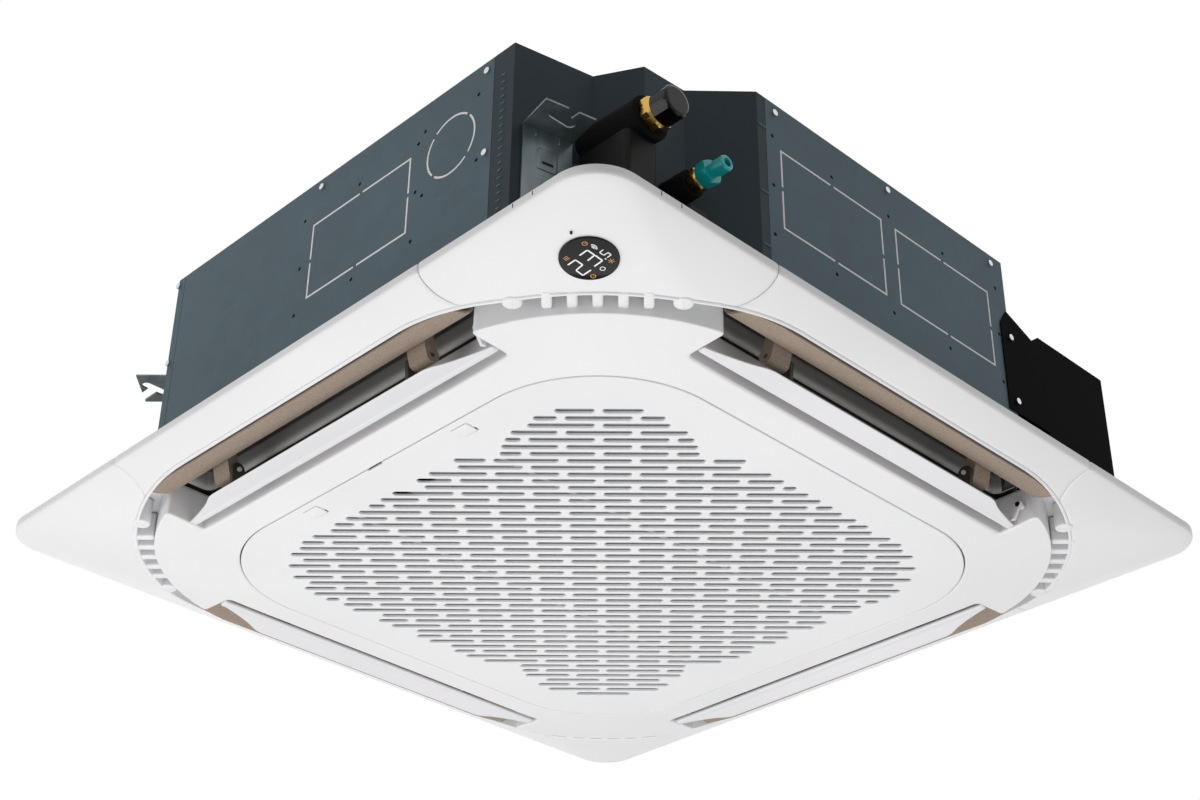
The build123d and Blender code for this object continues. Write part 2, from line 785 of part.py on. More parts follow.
liquid_nut_length = 12.0
liquid_nut_radius = 11.0
liquid_foam_start = 340.0
with BuildPart() as liquid_pipe:
    with BuildLine():
        liquid_route = FilletPolyline(
            (coil_middle, -coil_end, liquid_z),
            (coil_middle, liquid_y, liquid_z),
            (liquid_foam_end + liquid_nut_length, liquid_y, liquid_z),
            radius=14,
        )
    with BuildSketch(Plane.XZ.offset(coil_end)):
        with Locations((coil_middle, liquid_z)):
            Circle(liquid_radius)
            Circle(liquid_radius - 0.8, mode=Mode.SUBTRACT)
    sweep(path=liquid_route)
pieces["liquid_pipe"] = liquid_pipe

with BuildPart() as liquid_insulation:
    with BuildSketch(Plane.YZ.offset(liquid_foam_start)):
        with Locations((liquid_y, liquid_z)):
            Circle(liquid_foam_radius)
            Circle(liquid_radius + running_fit, mode=Mode.SUBTRACT)
    extrude(amount=liquid_foam_end - liquid_foam_start)
pieces["liquid_insulation"] = liquid_insulation

with BuildPart() as liquid_nut:
    with BuildSketch(Plane.YZ.offset(liquid_foam_end + seat_gap)):
        with Locations((liquid_y, liquid_z)):
            RegularPolygon(radius=liquid_nut_radius, side_count=6, major_radius=False)
            Circle(liquid_radius + running_fit, mode=Mode.SUBTRACT)
    extrude(amount=liquid_nut_length)
pieces["liquid_nut"] = liquid_nut

plug_start = liquid_foam_end + liquid_nut_length + 2 * seat_gap
plug_hex_length = 12.0
plug_neck_length = 5.0
plug_tip_length = 14.0
plug_socket_depth = 8.0
plug_end = plug_start + plug_hex_length + plug_neck_length + plug_tip_length
with BuildPart() as liquid_plug:
    with BuildSketch(Plane.YZ.offset(plug_start)):
        with Locations((liquid_y, liquid_z)):
            RegularPolygon(radius=12.0, side_count=6, major_radius=False)
    extrude(amount=plug_hex_length)
    with BuildSketch(Plane.YZ.offset(plug_start + plug_hex_length)):
        with Locations((liquid_y, liquid_z)):
            Circle(7)
    extrude(amount=plug_neck_length)
    with BuildSketch(Plane.YZ.offset(plug_end - plug_tip_length)):
        with Locations((liquid_y, liquid_z)):
            Circle(8.4)
    extrude(amount=plug_tip_length)
    with BuildSketch(Plane.YZ.offset(plug_end - plug_socket_depth)):
        with Locations((liquid_y, liquid_z)):
            RegularPolygon(radius=4.5, side_count=6)
    extrude(amount=plug_socket_depth, mode=Mode.SUBTRACT)
pieces["liquid_plug"] = liquid_plug

entry_wall = pipe_steps[3][0]
with BuildPart() as cable_entry:
    with BuildSketch(Plane.XY.offset(pan_bottom)):
        with Locations((entry_wall + 12, liquid_y)):
            RectangleRounded(48, 26, 3)
        casing_plan(-seat_gap, mode=Mode.SUBTRACT)
    extrude(amount=84 - pan_bottom)
pieces["cable_entry"] = cable_entry

# ---- Control box ------------------------------------------------------------------------------
box_back = casing_half - box_depth
box_wall = 1.5
box_middle = (casing_half - box_depth / 2, (box_start + box_end) / 2)
with BuildPart() as control_box:
    with BuildSketch(Plane.XY.offset(box_bottom)):
        with Locations(box_middle):
            Rectangle(box_depth, box_end - box_start)
    extrude(amount=box_top - box_bottom)
    with BuildSketch(Plane.XY.offset(box_bottom + box_wall)):
        with Locations((box_middle[0] + box_wall, box_middle[1])):
            Rectangle(box_depth, box_end - box_start - 2 * box_wall)
    extrude(amount=box_top - box_bottom - 2 * box_wall, mode=Mode.SUBTRACT)
pieces["control_box"] = control_box

with BuildPart() as control_cover:
    with BuildSketch(right_face.offset(seat_gap)):
        with BuildLine():
            Polyline(
                (191, 65), (box_start, 65), (box_start, box_bottom), (box_end, box_bottom),
                (box_end, box_top), (box_start, box_top), (250, 177), (204, 195), (191, 175),
                close=True,
            )
        make_face()
        with Locations(*ear_screws):
            Circle(screw_shank + running_fit, mode=Mode.SUBTRACT)
    extrude(amount=sheet)
pieces["control_cover"] = control_cover

with BuildPart() as terminal_block:
    with BuildSketch(Plane.YZ.offset(box_back + box_wall + seat_gap)):
        with Locations((box_start + 34, 60)):
            Rectangle(44, 70)
    extrude(amount=18)
    with BuildSketch(Plane.YZ.offset(box_back + box_wall + seat_gap + 18)):
        with Locations((box_start + 34, 60)):
            with GridLocations(22, 14, 2, 5):
                Circle(4)
    extrude(amount=-8, mode=Mode.SUBTRACT)
pieces["terminal_block"] = terminal_block

with BuildPart() as control_board:
    with BuildSketch(Plane.YZ.offset(box_back + box_wall + seat_gap)):
        with Locations((box_start + 82, 105)):
            with GridLocations(34, 120, 2, 2):
                Circle(3)
    extrude(amount=8)
    with BuildSketch(Plane.YZ.offset(box_back + box_wall + seat_gap + 8)):
        with Locations((box_start + 82, 105)):
            Rectangle(46, 136)
    extrude(amount=1.6)
    with BuildSketch(Plane.YZ.offset(box_back + box_wall + seat_gap + 9.6)):
        with Locations((box_start + 82, 105)):
            with GridLocations(20, 30, 2, 4):
                Rectangle(12, 16)
    extrude(amount=10)
pieces["control_board"] = control_board


# ---- Panel frame and corner covers ------------------------------------------------------------
def pillow(lift, inset, mode=Mode.ADD):
    """The panel's rounded underside as a solid, moved up by lift and in by inset."""
    levels = []
    for depth, half, corner in panel_sections:
        with BuildSketch(Plane.XY.offset(lift - depth)) as level:
            rounded_square(half - inset, corner - inset)
        levels.append(level.sketch)
    loft(levels, mode=mode)


frame_edge = opening_half + trim_width + seam_gap / 2
frame_edge_corner = opening_corner + trim_width + seam_gap / 2
wall_top = plate_under - seat_gap
with BuildPart() as frame_lip:
    with BuildSketch(Plane.XY.offset(-rim_depth)):
        rounded_square(panel_half, rim_corner)
    extrude(amount=rim_depth + wall_top)
    pillow(0, 0)
    with BuildSketch(Plane.XY.offset(-tunnel)):
        rounded_square(frame_edge + panel_wall, frame_edge_corner + panel_wall)
        rounded_square(frame_edge, frame_edge_corner, mode=Mode.SUBTRACT)
    extrude(amount=tunnel, mode=Mode.INTERSECT)

with BuildPart() as panel_shell:
    with BuildSketch(Plane.XY.offset(-rim_depth)):
        rounded_square(panel_half, rim_corner)
    extrude(amount=rim_depth)
    pillow(0, 0)
    with BuildSketch(Plane.XY.offset(panel_wall - rim_depth)):
        rounded_square(panel_half - panel_wall, rim_corner - panel_wall)
    extrude(amount=rim_depth - panel_wall, mode=Mode.SUBTRACT)
    pillow(panel_wall, panel_wall, mode=Mode.SUBTRACT)
    with BuildSketch(Plane.XY.offset(-tunnel)):
        rounded_square(frame_edge, frame_edge_corner)
    extrude(amount=tunnel, mode=Mode.SUBTRACT)
    add(frame_lip.part)

cover_size = panel_half - cover_reach + 10
plate_half = panel_half - panel_wall - seat_gap
with BuildPart() as panel_frame:
    add(panel_shell.part)
    with BuildSketch(Plane.XY.offset(-tunnel)):
        with GridLocations(2 * cover_reach + cover_size, 2 * cover_reach + cover_size, 2, 2):
            Rectangle(cover_size + seam_gap / 2, cover_size + seam_gap / 2)
    extrude(amount=tunnel, mode=Mode.SUBTRACT)
    with BuildSketch(Plane.XY.offset(plate_under)):
        rounded_square(plate_half, rim_corner - panel_wall - seat_gap)
        with PolarLocations(panel_half - panel_wall - 10, 4):
            Rectangle(22, 2 * cover_reach - seam_gap)
        rounded_square(seam_half + 8, 60, mode=Mode.SUBTRACT)
        with PolarLocations(outlet_edge - 2 + 23.5, 4):
            Rectangle(47, outlet_length + 4, mode=Mode.SUBTRACT)
    extrude(amount=plate_thickness)
    with BuildSketch(Plane.XY.offset(-casing_recess)):
        Rectangle(2 * (casing_half + recess_margin), 2 * (casing_half + recess_margin))
    extrude(amount=casing_recess, mode=Mode.SUBTRACT)
    with BuildSketch(Plane.XY.offset(plate_under)):
        with PolarLocations(frame_edge + panel_wall / 2, 4):
            Rectangle(panel_wall, 2 * 170)
    extrude(amount=-2)
    with BuildSketch(Plane.XY.offset(plate_under)):
        with GridLocations(2 * screw_place, 2 * screw_place, 2, 2):
            Circle(panel_screw_radius + running_fit)
    extrude(amount=plate_thickness, mode=Mode.SUBTRACT)
pieces["panel_frame"] = panel_frame

display_out = Vector(display_x, display_y, 0).normalized() * math.sin(math.radians(display_tilt))
display_down = Vector(0, 0, -1) * math.cos(math.radians(display_tilt))
display_plane = Plane(
    origin=(display_x, display_y, display_z), x_dir=(1, 0, 0), z_dir=display_out + display_down
)


def make_cover(sign_x, sign_y, with_display):
    """One corner cover, cut from the panel shell, with two clip slots in its rim."""
    middle = cover_reach + cover_size / 2 + seam_gap / 4
    with BuildPart() as cover:
        add(panel_shell.part)
        with BuildSketch(Plane.XY.offset(-tunnel)):
            with Locations((sign_x * middle, sign_y * middle)):
                Rectangle(cover_size - seam_gap / 2, cover_size - seam_gap / 2)
        extrude(amount=tunnel, mode=Mode.INTERSECT)
        with BuildSketch(Plane.XY.offset(-2.5)):
            with Locations((sign_x * clip_place, sign_y * panel_half), (sign_x * panel_half, sign_y * clip_place)):
                Rectangle(clip_width, clip_width)
        extrude(amount=1.2, mode=Mode.SUBTRACT)
        if with_display:
            with BuildSketch(display_plane.offset(-2 * display_thickness)):
                Circle(display_radius + seat_gap)
            extrude(amount=4 * display_thickness, mode=Mode.SUBTRACT)
    return cover


for corner_name, (sign_x, sign_y) in corners.items():
    pieces[f"corner_cover_{corner_name}"] = make_cover(sign_x, sign_y, corner_name == "display")

with BuildPart() as display_window:
    with BuildSketch(display_plane.offset(0.4 - display_thickness)):
        Circle(display_radius)
    extrude(amount=display_thickness)
pieces["display_window"] = display_window

with BuildPart() as opening_trim:
    with BuildSketch(Plane.XY.offset(-rim_depth)):
        rounded_square(panel_half, rim_corner)
    extrude(amount=rim_depth + wall_top)
    pillow(0, 0)
    with BuildSketch(Plane.XY.offset(-tunnel)):
        rounded_square(opening_half + trim_width, opening_corner + trim_width)
        rounded_square(opening_half, opening_corner, mode=Mode.SUBTRACT)
    extrude(amount=tunnel, mode=Mode.INTERSECT)
pieces["opening_trim"] = opening_trim


# ---- Centre panel -----------------------------------------------------------------------------
def centre_plan(inset):
    """Plan of the centre panel, a rounded square less the four outlets, walls moved in by inset."""
    rounded_square(tab_half - inset, tab_corner - inset)
    depth = tab_half - outlet_edge + 20
    with PolarLocations(outlet_edge - inset + depth / 2, 4):
        Rectangle(depth, outlet_length + 2 * inset, mode=Mode.SUBTRACT)


def dome(lift, top):
    """The centre panel's slightly domed underside as a solid, moved up by lift, up to top."""
    levels = []
    for depth, half, corner in dome_sections:
        with BuildSketch(Plane.XY.offset(lift - depth)) as level:
            rounded_square(half, corner)
        levels.append(level.sketch)
    loft(levels)
    extrude(levels[-1], amount=top + tab_depth - lift)


with BuildPart() as centre_cavity:
    dome(panel_wall, wall_top + 1)
    with BuildSketch(Plane.XY.offset(-tunnel)):
        centre_plan(panel_wall)
    extrude(amount=tunnel, mode=Mode.INTERSECT)

end_wall = outlet_half + panel_wall
hinge_y = grille_half - hinge_inset
hinge_z = hinge_rise - seam_depth
knuckle_radius = hinge_rise - running_fit
knuckle_reach = hinge_inset + grille_gap + 1.0
knuckle_height = 5.0
with BuildPart() as centre_panel:
    dome(0, wall_top)
    with BuildSketch(Plane.XY.offset(-tunnel)):
        centre_plan(0)
    extrude(amount=tunnel, mode=Mode.INTERSECT)
    add(centre_cavity.part, mode=Mode.SUBTRACT)
    with BuildSketch(Plane.XY.offset(-tunnel)):
        rounded_square(seam_half, seam_corner)
    extrude(amount=tunnel, mode=Mode.SUBTRACT)
    with BuildSketch(Plane.XY.offset(1 - seam_depth)):
        rounded_square(seam_half + 2.5, seam_corner + 2.5)
        rounded_square(seam_half, seam_corner, mode=Mode.SUBTRACT)
    extrude(amount=intake_wall)
    for turn in sides.values():
        for end in (-1, 1):
            with BuildSketch(section(turn, end * (outlet_half - dome_height))):
                with Locations(pivot):
                    Circle(dome_radius)
            extrude(amount=-end * dome_height)
        with BuildSketch(section(turn, outlet_half)):
            with Locations(pivot):
                Circle(drive_pin_radius + running_fit)
        extrude(amount=2 * panel_wall, both=True, mode=Mode.SUBTRACT)
    for end in (-1, 1):
        with BuildSketch(Plane.YZ.offset(end * hinge_x)):
            with Locations((hinge_y, hinge_z)):
                Circle(knuckle_radius)
            with Locations((hinge_y + knuckle_reach / 2, hinge_z - knuckle_radius + knuckle_height / 2)):
                Rectangle(knuckle_reach, knuckle_height)
            with Locations((hinge_y, hinge_z)):
                Circle(hinge_pin + running_fit, mode=Mode.SUBTRACT)
        extrude(amount=hinge_notch / 2 - seat_gap, both=True)
pieces["centre_panel"] = centre_panel

with BuildPart() as corner_fins:
    with BuildSketch(Plane.XY.offset(-fin_depth)):
        rounded_square(opening_half - seat_gap, opening_corner - seat_gap)
        rounded_square(tab_half + seat_gap, tab_corner + seat_gap, mode=Mode.SUBTRACT)
    extrude(amount=fin_depth + wall_top)
    gap_radius = (tab_half - tab_corner) * math.sqrt(2) + tab_corner
    with BuildSketch(Plane.XY.offset(-fin_depth)):
        with PolarLocations(gap_radius, 4, start_angle=45):
            with GridLocations(0, fin_pitch, 1, fin_count):
                Rectangle(60, fin_width)
            with GridLocations(0, 2 * boss_offset, 1, 2):
                with Locations((-2, 0)):
                    Circle(boss_radius)
    extrude(amount=fin_depth + wall_top, mode=Mode.INTERSECT)
pieces["corner_fins"] = corner_fins

# ---- Outlets ----------------------------------------------------------------------------------
lip_x = opening_half - 1.5
lip_wall = duct_outer - 2.0
with BuildPart() as duct_lips:
    for turn in sides.values():
        with BuildSketch(section(turn)):
            with BuildLine():
                ThreePointArc((lip_x, -27), (opening_half - 17, -24), (opening_half - 32, -17.5))
                Polyline(
                    (opening_half - 32, -17.5), (lip_wall, -13), (lip_wall, wall_top),
                    (lip_wall + 2.2, wall_top), (lip_wall + 2.2, -12), (opening_half - 30.5, -15.5),
                )
                ThreePointArc((opening_half - 30.5, -15.5), (opening_half - 16.5, -22), (lip_x, -24.5))
                Line((lip_x, -24.5), (lip_x, -27))
            make_face()
        extrude(amount=outlet_half - 1.5, both=True)
    with BuildSketch(Plane.XY.offset(-tunnel)):
        rounded_square(opening_half - seat_gap, opening_corner - seat_gap)
    extrude(amount=tunnel, mode=Mode.INTERSECT)
pieces["duct_lips"] = duct_lips

bracket_start = arm_station + arm_thickness / 2 + bracket_gap
with BuildPart() as vane_brackets:
    for turn in sides.values():
        for end in (-1, 1):
            with BuildSketch(section(turn, end * bracket_start)):
                with BuildLine():
                    Polyline(
                        (lip_wall - seat_gap, wall_top), (lip_wall - seat_gap, -12.5),
                        (pivot[0] + bracket_eye - 1, pivot[1] - 4), (pivot[0] - bracket_eye, pivot[1]),
                        (pivot[0] + 1, wall_top),
                        close=True,
                    )
                make_face()
                with Locations(pivot):
                    Circle(bracket_eye)
                    Circle(pin_radius + running_fit, mode=Mode.SUBTRACT)
            extrude(amount=-end * bracket_length)
pieces["vane_brackets"] = vane_brackets

tilt = math.radians(vane_tilt)
vane_half = vane_length / 2


def blade_top(distance):
    """Height of the blade's upper face at a distance outward, above the nose line."""
    return nose[1] - (distance - nose[0]) * math.tan(tilt) + vane_thickness / 2 / math.cos(tilt)


def make_vane(turn):
    """A thin blade, straight at its inner edge with a round bead, rounded away at its outer corners."""
    slope = outward(turn) * math.cos(tilt) + Vector(0, 0, -math.sin(tilt))
    blade_plane = Plane(
        origin=outward(turn) * nose[0] + Vector(0, 0, nose[1]), x_dir=slope, z_dir=slope.cross(sideways(turn))
    )
    with BuildPart() as vane:
        with BuildSketch(blade_plane):
            with BuildLine():
                Line((0, -vane_half), (0, vane_half))
                for end in (-1, 1):
                    ThreePointArc(
                        (0, end * vane_half),
                        (0.62 * vane_chord, end * (vane_half - 18)),
                        (vane_chord, end * vane_flat / 2),
                    )
                Line((vane_chord, -vane_flat / 2), (vane_chord, vane_flat / 2))
            make_face()
        extrude(amount=vane_thickness / 2, both=True)
        with BuildSketch(section(turn)):
            with Locations(nose):
                Circle(vane_nose_radius)
        extrude(amount=vane_half, both=True)
    return vane


def make_arms(turn):
    """Two arms on a vane, each with its pin, and the crank at the driven end."""
    with BuildPart() as arms:
        for end in (-1, 1):
            with BuildSketch(section(turn, end * arm_station)):
                with BuildLine():
                    Polyline(
                        (pivot[0] - arm_eye, pivot[1]), (pivot[0] + arm_eye, pivot[1]),
                        (pivot[0] + 5, blade_top(pivot[0] + 5) + seat_gap),
                        (pivot[0] - 14, blade_top(pivot[0] - 14) + seat_gap),
                        close=True,
                    )
                make_face()
                with Locations(pivot):
                    Circle(arm_eye)
            extrude(amount=arm_thickness / 2, both=True)
            with BuildSketch(section(turn, end * (arm_station - arm_thickness / 2 - 1))):
                with Locations(pivot):
                    Circle(pin_radius)
            extrude(amount=-end * (2 * arm_thickness + 5))
        crank = outlet_half - dome_height - 6
        with BuildSketch(section(turn, crank)):
            with BuildLine():
                Polyline(
                    (pivot[0] - 4.5, pivot[1]), (pivot[0] + 4.5, pivot[1]),
                    (pivot[0] - 6, blade_top(pivot[0] - 6) + seat_gap),
                    (pivot[0] - 13, blade_top(pivot[0] - 13) + seat_gap),
                    close=True,
                )
            make_face()
            with Locations(pivot):
                Circle(4.5)
        extrude(amount=2, both=True)
        with BuildSketch(section(turn, crank)):
            with Locations(pivot):
                Circle(drive_pin_radius)
        extrude(amount=-(end_wall - crank))
    return arms


for side_name, turn in sides.items():
    pieces[f"vane_{side_name}"] = make_vane(turn)
    pieces[f"vane_arms_{side_name}"] = make_arms(turn)

motor_offset = 8.0
with BuildPart() as vane_motors:
    for turn in sides.values():
        with BuildSketch(section(turn, end_wall + seat_gap)):
            with Locations((pivot[0] - motor_offset, pivot[1])):
                Circle(13)
        extrude(amount=-18)
pieces["vane_motors"] = vane_motors

with BuildPart() as panel_screws:
    with BuildSketch(Plane.XY.offset(plate_under)):
        with GridLocations(2 * screw_place, 2 * screw_place, 2, 2):
            Circle(6)
    extrude(amount=-3)
    with BuildSketch(Plane.XY.offset(plate_under)):
        with GridLocations(2 * screw_place, 2 * screw_place, 2, 2):
            Circle(panel_screw_radius)
    extrude(amount=plate_thickness + trough_floor - 5)
pieces["panel_screws"] = panel_screws


# ---- Grille -----------------------------------------------------------------------------------
def field_chord(row_place):
    """Where a diagonal row crosses the slotted field: the ends along the row, or None outside it."""
    straight = field_half * math.sqrt(2) - abs(row_place)
    centre = field_half - field_corner
    if straight <= 0:
        return None
    reach = straight
    corner_middle = centre * math.sqrt(2)
    if abs(row_place) < field_corner:
        rounded = corner_middle + math.sqrt(field_corner**2 - row_place**2)
        reach = min(reach, rounded)
    if abs(row_place) > corner_middle:
        over = abs(row_place) - corner_middle
        if over >= field_corner:
            return None
        reach = min(reach, math.sqrt(field_corner**2 - over**2))
    return reach


def grille_slots():
    """Slots on diagonal rows, each row half a period on from the last: centre and length of each."""
    slots = []
    rows = int(field_half * 1.5 / row_pitch)
    for row in range(-rows, rows + 1):
        row_place = row_offset + row_pitch * row
        reach = field_chord(row_place)
        if reach is None:
            continue
        phase = slot_start + (slot_period / 2 if row % 2 else 0)
        first = -math.ceil((reach + phase) / slot_period) - 1
        for index in range(first, -first + 2):
            low = max(phase + index * slot_period, -reach)
            high = min(phase + index * slot_period + slot_length, reach)
            if high - low >= least_slot:
                slots.append(((low + high) / 2, row_place, high - low))
    return slots


slots = grille_slots()
print("grille slots", len(slots))
latch_y = latch_inset - seam_half
grille_low = -seam_depth
with BuildPart() as intake_grille:
    with BuildSketch(Plane.XY.offset(grille_low)):
        rounded_square(grille_half, grille_corner)
    extrude(amount=grille_plate)
    fillet(intake_grille.faces().sort_by(Axis.Z)[0].edges(), radius=grille_plate - 0.1)
    with BuildSketch(Plane(origin=(0, 0, grille_low), x_dir=(1, 1, 0), z_dir=(0, 0, 1))):
        for along_row, row_place, length in slots:
            with Locations((along_row, -row_place)):
                SlotOverall(length, slot_width)
    extrude(amount=grille_plate, mode=Mode.SUBTRACT)
    with BuildSketch(Plane.XY.offset(grille_low + grille_plate)):
        rounded_square(filter_half + 8, grille_corner - 18)
        rounded_square(filter_half + 6, grille_corner - 20, mode=Mode.SUBTRACT)
        with Locations((-latch_x, latch_y), (latch_x, latch_y)):
            Rectangle(latch_length + 8, latch_width + 8, mode=Mode.SUBTRACT)
    extrude(amount=grille_rib)
    with BuildSketch(Plane.XY.offset(grille_low)):
        with Locations((-latch_x, latch_y), (latch_x, latch_y)):
            Rectangle(latch_length, latch_width)
        with Locations((-hinge_x, grille_half), (hinge_x, grille_half)):
            Rectangle(hinge_notch, 2 * hinge_notch_depth)
    extrude(amount=grille_plate, mode=Mode.SUBTRACT)
    for end in (-1, 1):
        with BuildSketch(Plane.YZ.offset(end * hinge_x)):
            with Locations((hinge_y, hinge_z)):
                Circle(hinge_pin)
        extrude(amount=hinge_notch / 2 + seat_gap, both=True)
pieces["intake_grille"] = intake_grille

filter_low = grille_low + grille_plate + seat_gap
with BuildPart() as air_filter:
    with BuildSketch(Plane.XY.offset(filter_low)):
        rounded_square(filter_half, grille_corner - 26)
        with Locations((-latch_x, latch_y), (latch_x, latch_y)):
            Rectangle(latch_length + 12, latch_width + 24, mode=Mode.SUBTRACT)
        rounded_square(filter_half - filter_frame - 14, grille_corner - 48, mode=Mode.SUBTRACT)
    extrude(amount=filter_thickness)
    with BuildSketch(Plane.XY.offset(filter_low + 1)):
        rounded_square(filter_half - filter_frame - 13, grille_corner - 47)
        with Locations((filter_notch_x, -filter_half)):
            Rectangle(filter_notch, filter_notch_depth, mode=Mode.SUBTRACT)
    extrude(amount=2)
    with BuildSketch(Plane.XY.offset(filter_low)):
        with Locations((-filter_half / 3, 0), (filter_half / 3, 0)):
            Rectangle(5, 2 * filter_half - 40)
    extrude(amount=filter_thickness)
pieces["air_filter"] = air_filter

latch_slider = latch_width - latch_travel - 2 * seat_gap
tongue_end = grille_half - seat_gap
for latch_name, sign in (("left", -1), ("right", 1)):
    with BuildPart() as latch:
        with BuildSketch(Plane.XY.offset(grille_low + 0.6)):
            with Locations((sign * latch_x, latch_y - latch_travel / 2)):
                Rectangle(latch_length - 2 * seat_gap, latch_slider)
        extrude(amount=grille_plate)
        with BuildSketch(Plane.XY.offset(filter_low)):
            with Locations((sign * latch_x, latch_y - latch_travel / 2)):
                Rectangle(latch_length - 2 * seat_gap, latch_slider)
            with Locations((sign * latch_x, (latch_y - tongue_end) / 2)):
                Rectangle(tongue_width, tongue_end + latch_y)
        extrude(amount=tongue_thickness)
    pieces[f"grille_latch_{latch_name}"] = latch

# ---- Output -----------------------------------------------------------------------------------
for piece_name, piece in pieces.items():
    piece.part.label = piece_name
    export_step(piece.part, f"parts/{piece_name}.step")
print("pieces", len(pieces))
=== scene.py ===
"""A ceiling cassette air conditioner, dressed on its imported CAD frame.

The unit hangs with its panel downwards: z = 0 is the ceiling surface. The pipe stubs and the control
box stand on the +X side, and the front, with the grille latches, is -Y. Blender's lengths are metres.
The shapes here are worked out in millimetres, and MM turns them into metres.
"""

import json
import math

import bmesh
import bpy
import numpy as np
from bpy.props import FloatProperty, FloatVectorProperty, PointerProperty
from mathutils import Matrix, Vector


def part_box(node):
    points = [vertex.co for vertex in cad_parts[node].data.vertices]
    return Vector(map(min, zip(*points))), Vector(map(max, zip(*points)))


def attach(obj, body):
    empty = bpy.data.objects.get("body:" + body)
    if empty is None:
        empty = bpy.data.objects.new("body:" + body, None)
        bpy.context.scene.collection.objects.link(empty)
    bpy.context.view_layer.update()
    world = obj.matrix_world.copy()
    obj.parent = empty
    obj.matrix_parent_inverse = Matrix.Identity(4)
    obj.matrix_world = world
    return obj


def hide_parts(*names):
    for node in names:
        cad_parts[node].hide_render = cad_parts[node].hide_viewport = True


bl_info = {
    "name": "Ceiling cassette air conditioner",
    "version": (1, 0, 0),
    "blender": (4, 5, 0),
    "location": "View3D > Sidebar > Cassette",
    "description": "Builds and finishes the pieces of a four-way ceiling cassette unit",
    "category": "Object",
}

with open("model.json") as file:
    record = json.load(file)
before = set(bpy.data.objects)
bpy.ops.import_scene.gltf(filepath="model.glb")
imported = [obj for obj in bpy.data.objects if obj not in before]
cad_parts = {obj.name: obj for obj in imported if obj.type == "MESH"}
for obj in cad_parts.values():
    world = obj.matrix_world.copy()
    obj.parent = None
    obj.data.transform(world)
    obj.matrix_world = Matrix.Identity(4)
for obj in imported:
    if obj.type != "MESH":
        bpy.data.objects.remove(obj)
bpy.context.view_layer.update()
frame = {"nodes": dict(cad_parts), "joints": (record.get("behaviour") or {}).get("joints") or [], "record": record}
NODES = frame["nodes"]
MM = 0.001
SIDES = {"front": 0, "right": 90, "back": 180, "left": 270}


def node_box(name):
    """Lowest and highest corner of a CAD node, in mm to the nearest hundredth."""
    return [np.round(np.array(corner) / MM, 2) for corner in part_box(name)]


# ---- Colour and node helpers --------------------------------------------------------------------
def linear(code):
    """sRGB hex to linear: a channel c is c / 12.92 up to 0.04045 and ((c + 0.055) / 1.055) ^ 2.4 above."""
    channels = [int(code[i : i + 2], 16) / 255 for i in (1, 3, 5)]
    return tuple(c / 12.92 if c <= 0.04045 else ((c + 0.055) / 1.055) ** 2.4 for c in channels)


def deeper(colour, share):
    """The colour with that share of its light taken away."""
    return tuple(channel * (1 - share) for channel in colour)


def add(tree, kind, links=None, **settings):
    """Adds a node. A setting is a property of the node or an input's value, and links feed its inputs."""
    node = tree.nodes.new(kind)
    for key, value in settings.items():
        if hasattr(node, key):
            setattr(node, key, value)
        else:
            node.inputs[key.replace("_", " ")].default_value = value
    for key, socket in (links or {}).items():
        tree.links.new(socket, node.inputs[key])
    return node


def material(name, colour, rough, metallic=0.0, specular=0.5):
    """A Principled material with its constant values on its own sockets, and its Object coordinates."""
    made = bpy.data.materials.new(name)
    made.use_nodes = True
    tree = made.node_tree
    tree.nodes.clear()
    surface = add(tree, "ShaderNodeBsdfPrincipled", Metallic=metallic, Roughness=rough)
    surface.inputs["Specular IOR Level"].default_value = specular
    surface.inputs["Base Color"].default_value = (*colour, 1.0)
    add(tree, "ShaderNodeOutputMaterial", {"Surface": surface.outputs["BSDF"]})
    place = add(tree, "ShaderNodeTexCoord").outputs["Object"]
    return made, tree, surface, place


def tint(tree, surface, factor, low, high, ends=(0.0, 1.0)):
    """Base colour that runs from low to high with factor."""
    ramp = add(tree, "ShaderNodeValToRGB", {"Fac": factor})
    for stop, position, colour in zip(ramp.color_ramp.elements, ends, (low, high)):
        stop.position, stop.color = position, (*colour, 1.0)
    tree.links.new(ramp.outputs["Color"], surface.inputs["Base Color"])
    return ramp


def relief(tree, surface, height, height_mm, strength):
    """Bump on the surface from a pattern whose full height is height_mm."""
    bump = add(tree, "ShaderNodeBump", {"Height": height}, Strength=strength, Distance=height_mm * MM)
    tree.links.new(bump.outputs["Normal"], surface.inputs["Normal"])


def grain(tree, surface, place, size_mm, height_mm, strength, detail=1.0):
    """Fine surface relief: noise whose bumps are size_mm across and height_mm high."""
    noise = add(tree, "ShaderNodeTexNoise", {"Vector": place}, Scale=1000 / size_mm, Detail=detail)
    relief(tree, surface, noise.outputs["Fac"], height_mm, strength)


def wave(tree, value, pitch_mm):
    """Sine of a coordinate that repeats every pitch_mm."""
    turns = add(tree, "ShaderNodeMath", {0: value}, operation="MULTIPLY")
    turns.inputs[1].default_value = 2 * math.pi / (pitch_mm * MM)
    return add(tree, "ShaderNodeMath", {0: turns.outputs[0]}, operation="SINE").outputs[0]


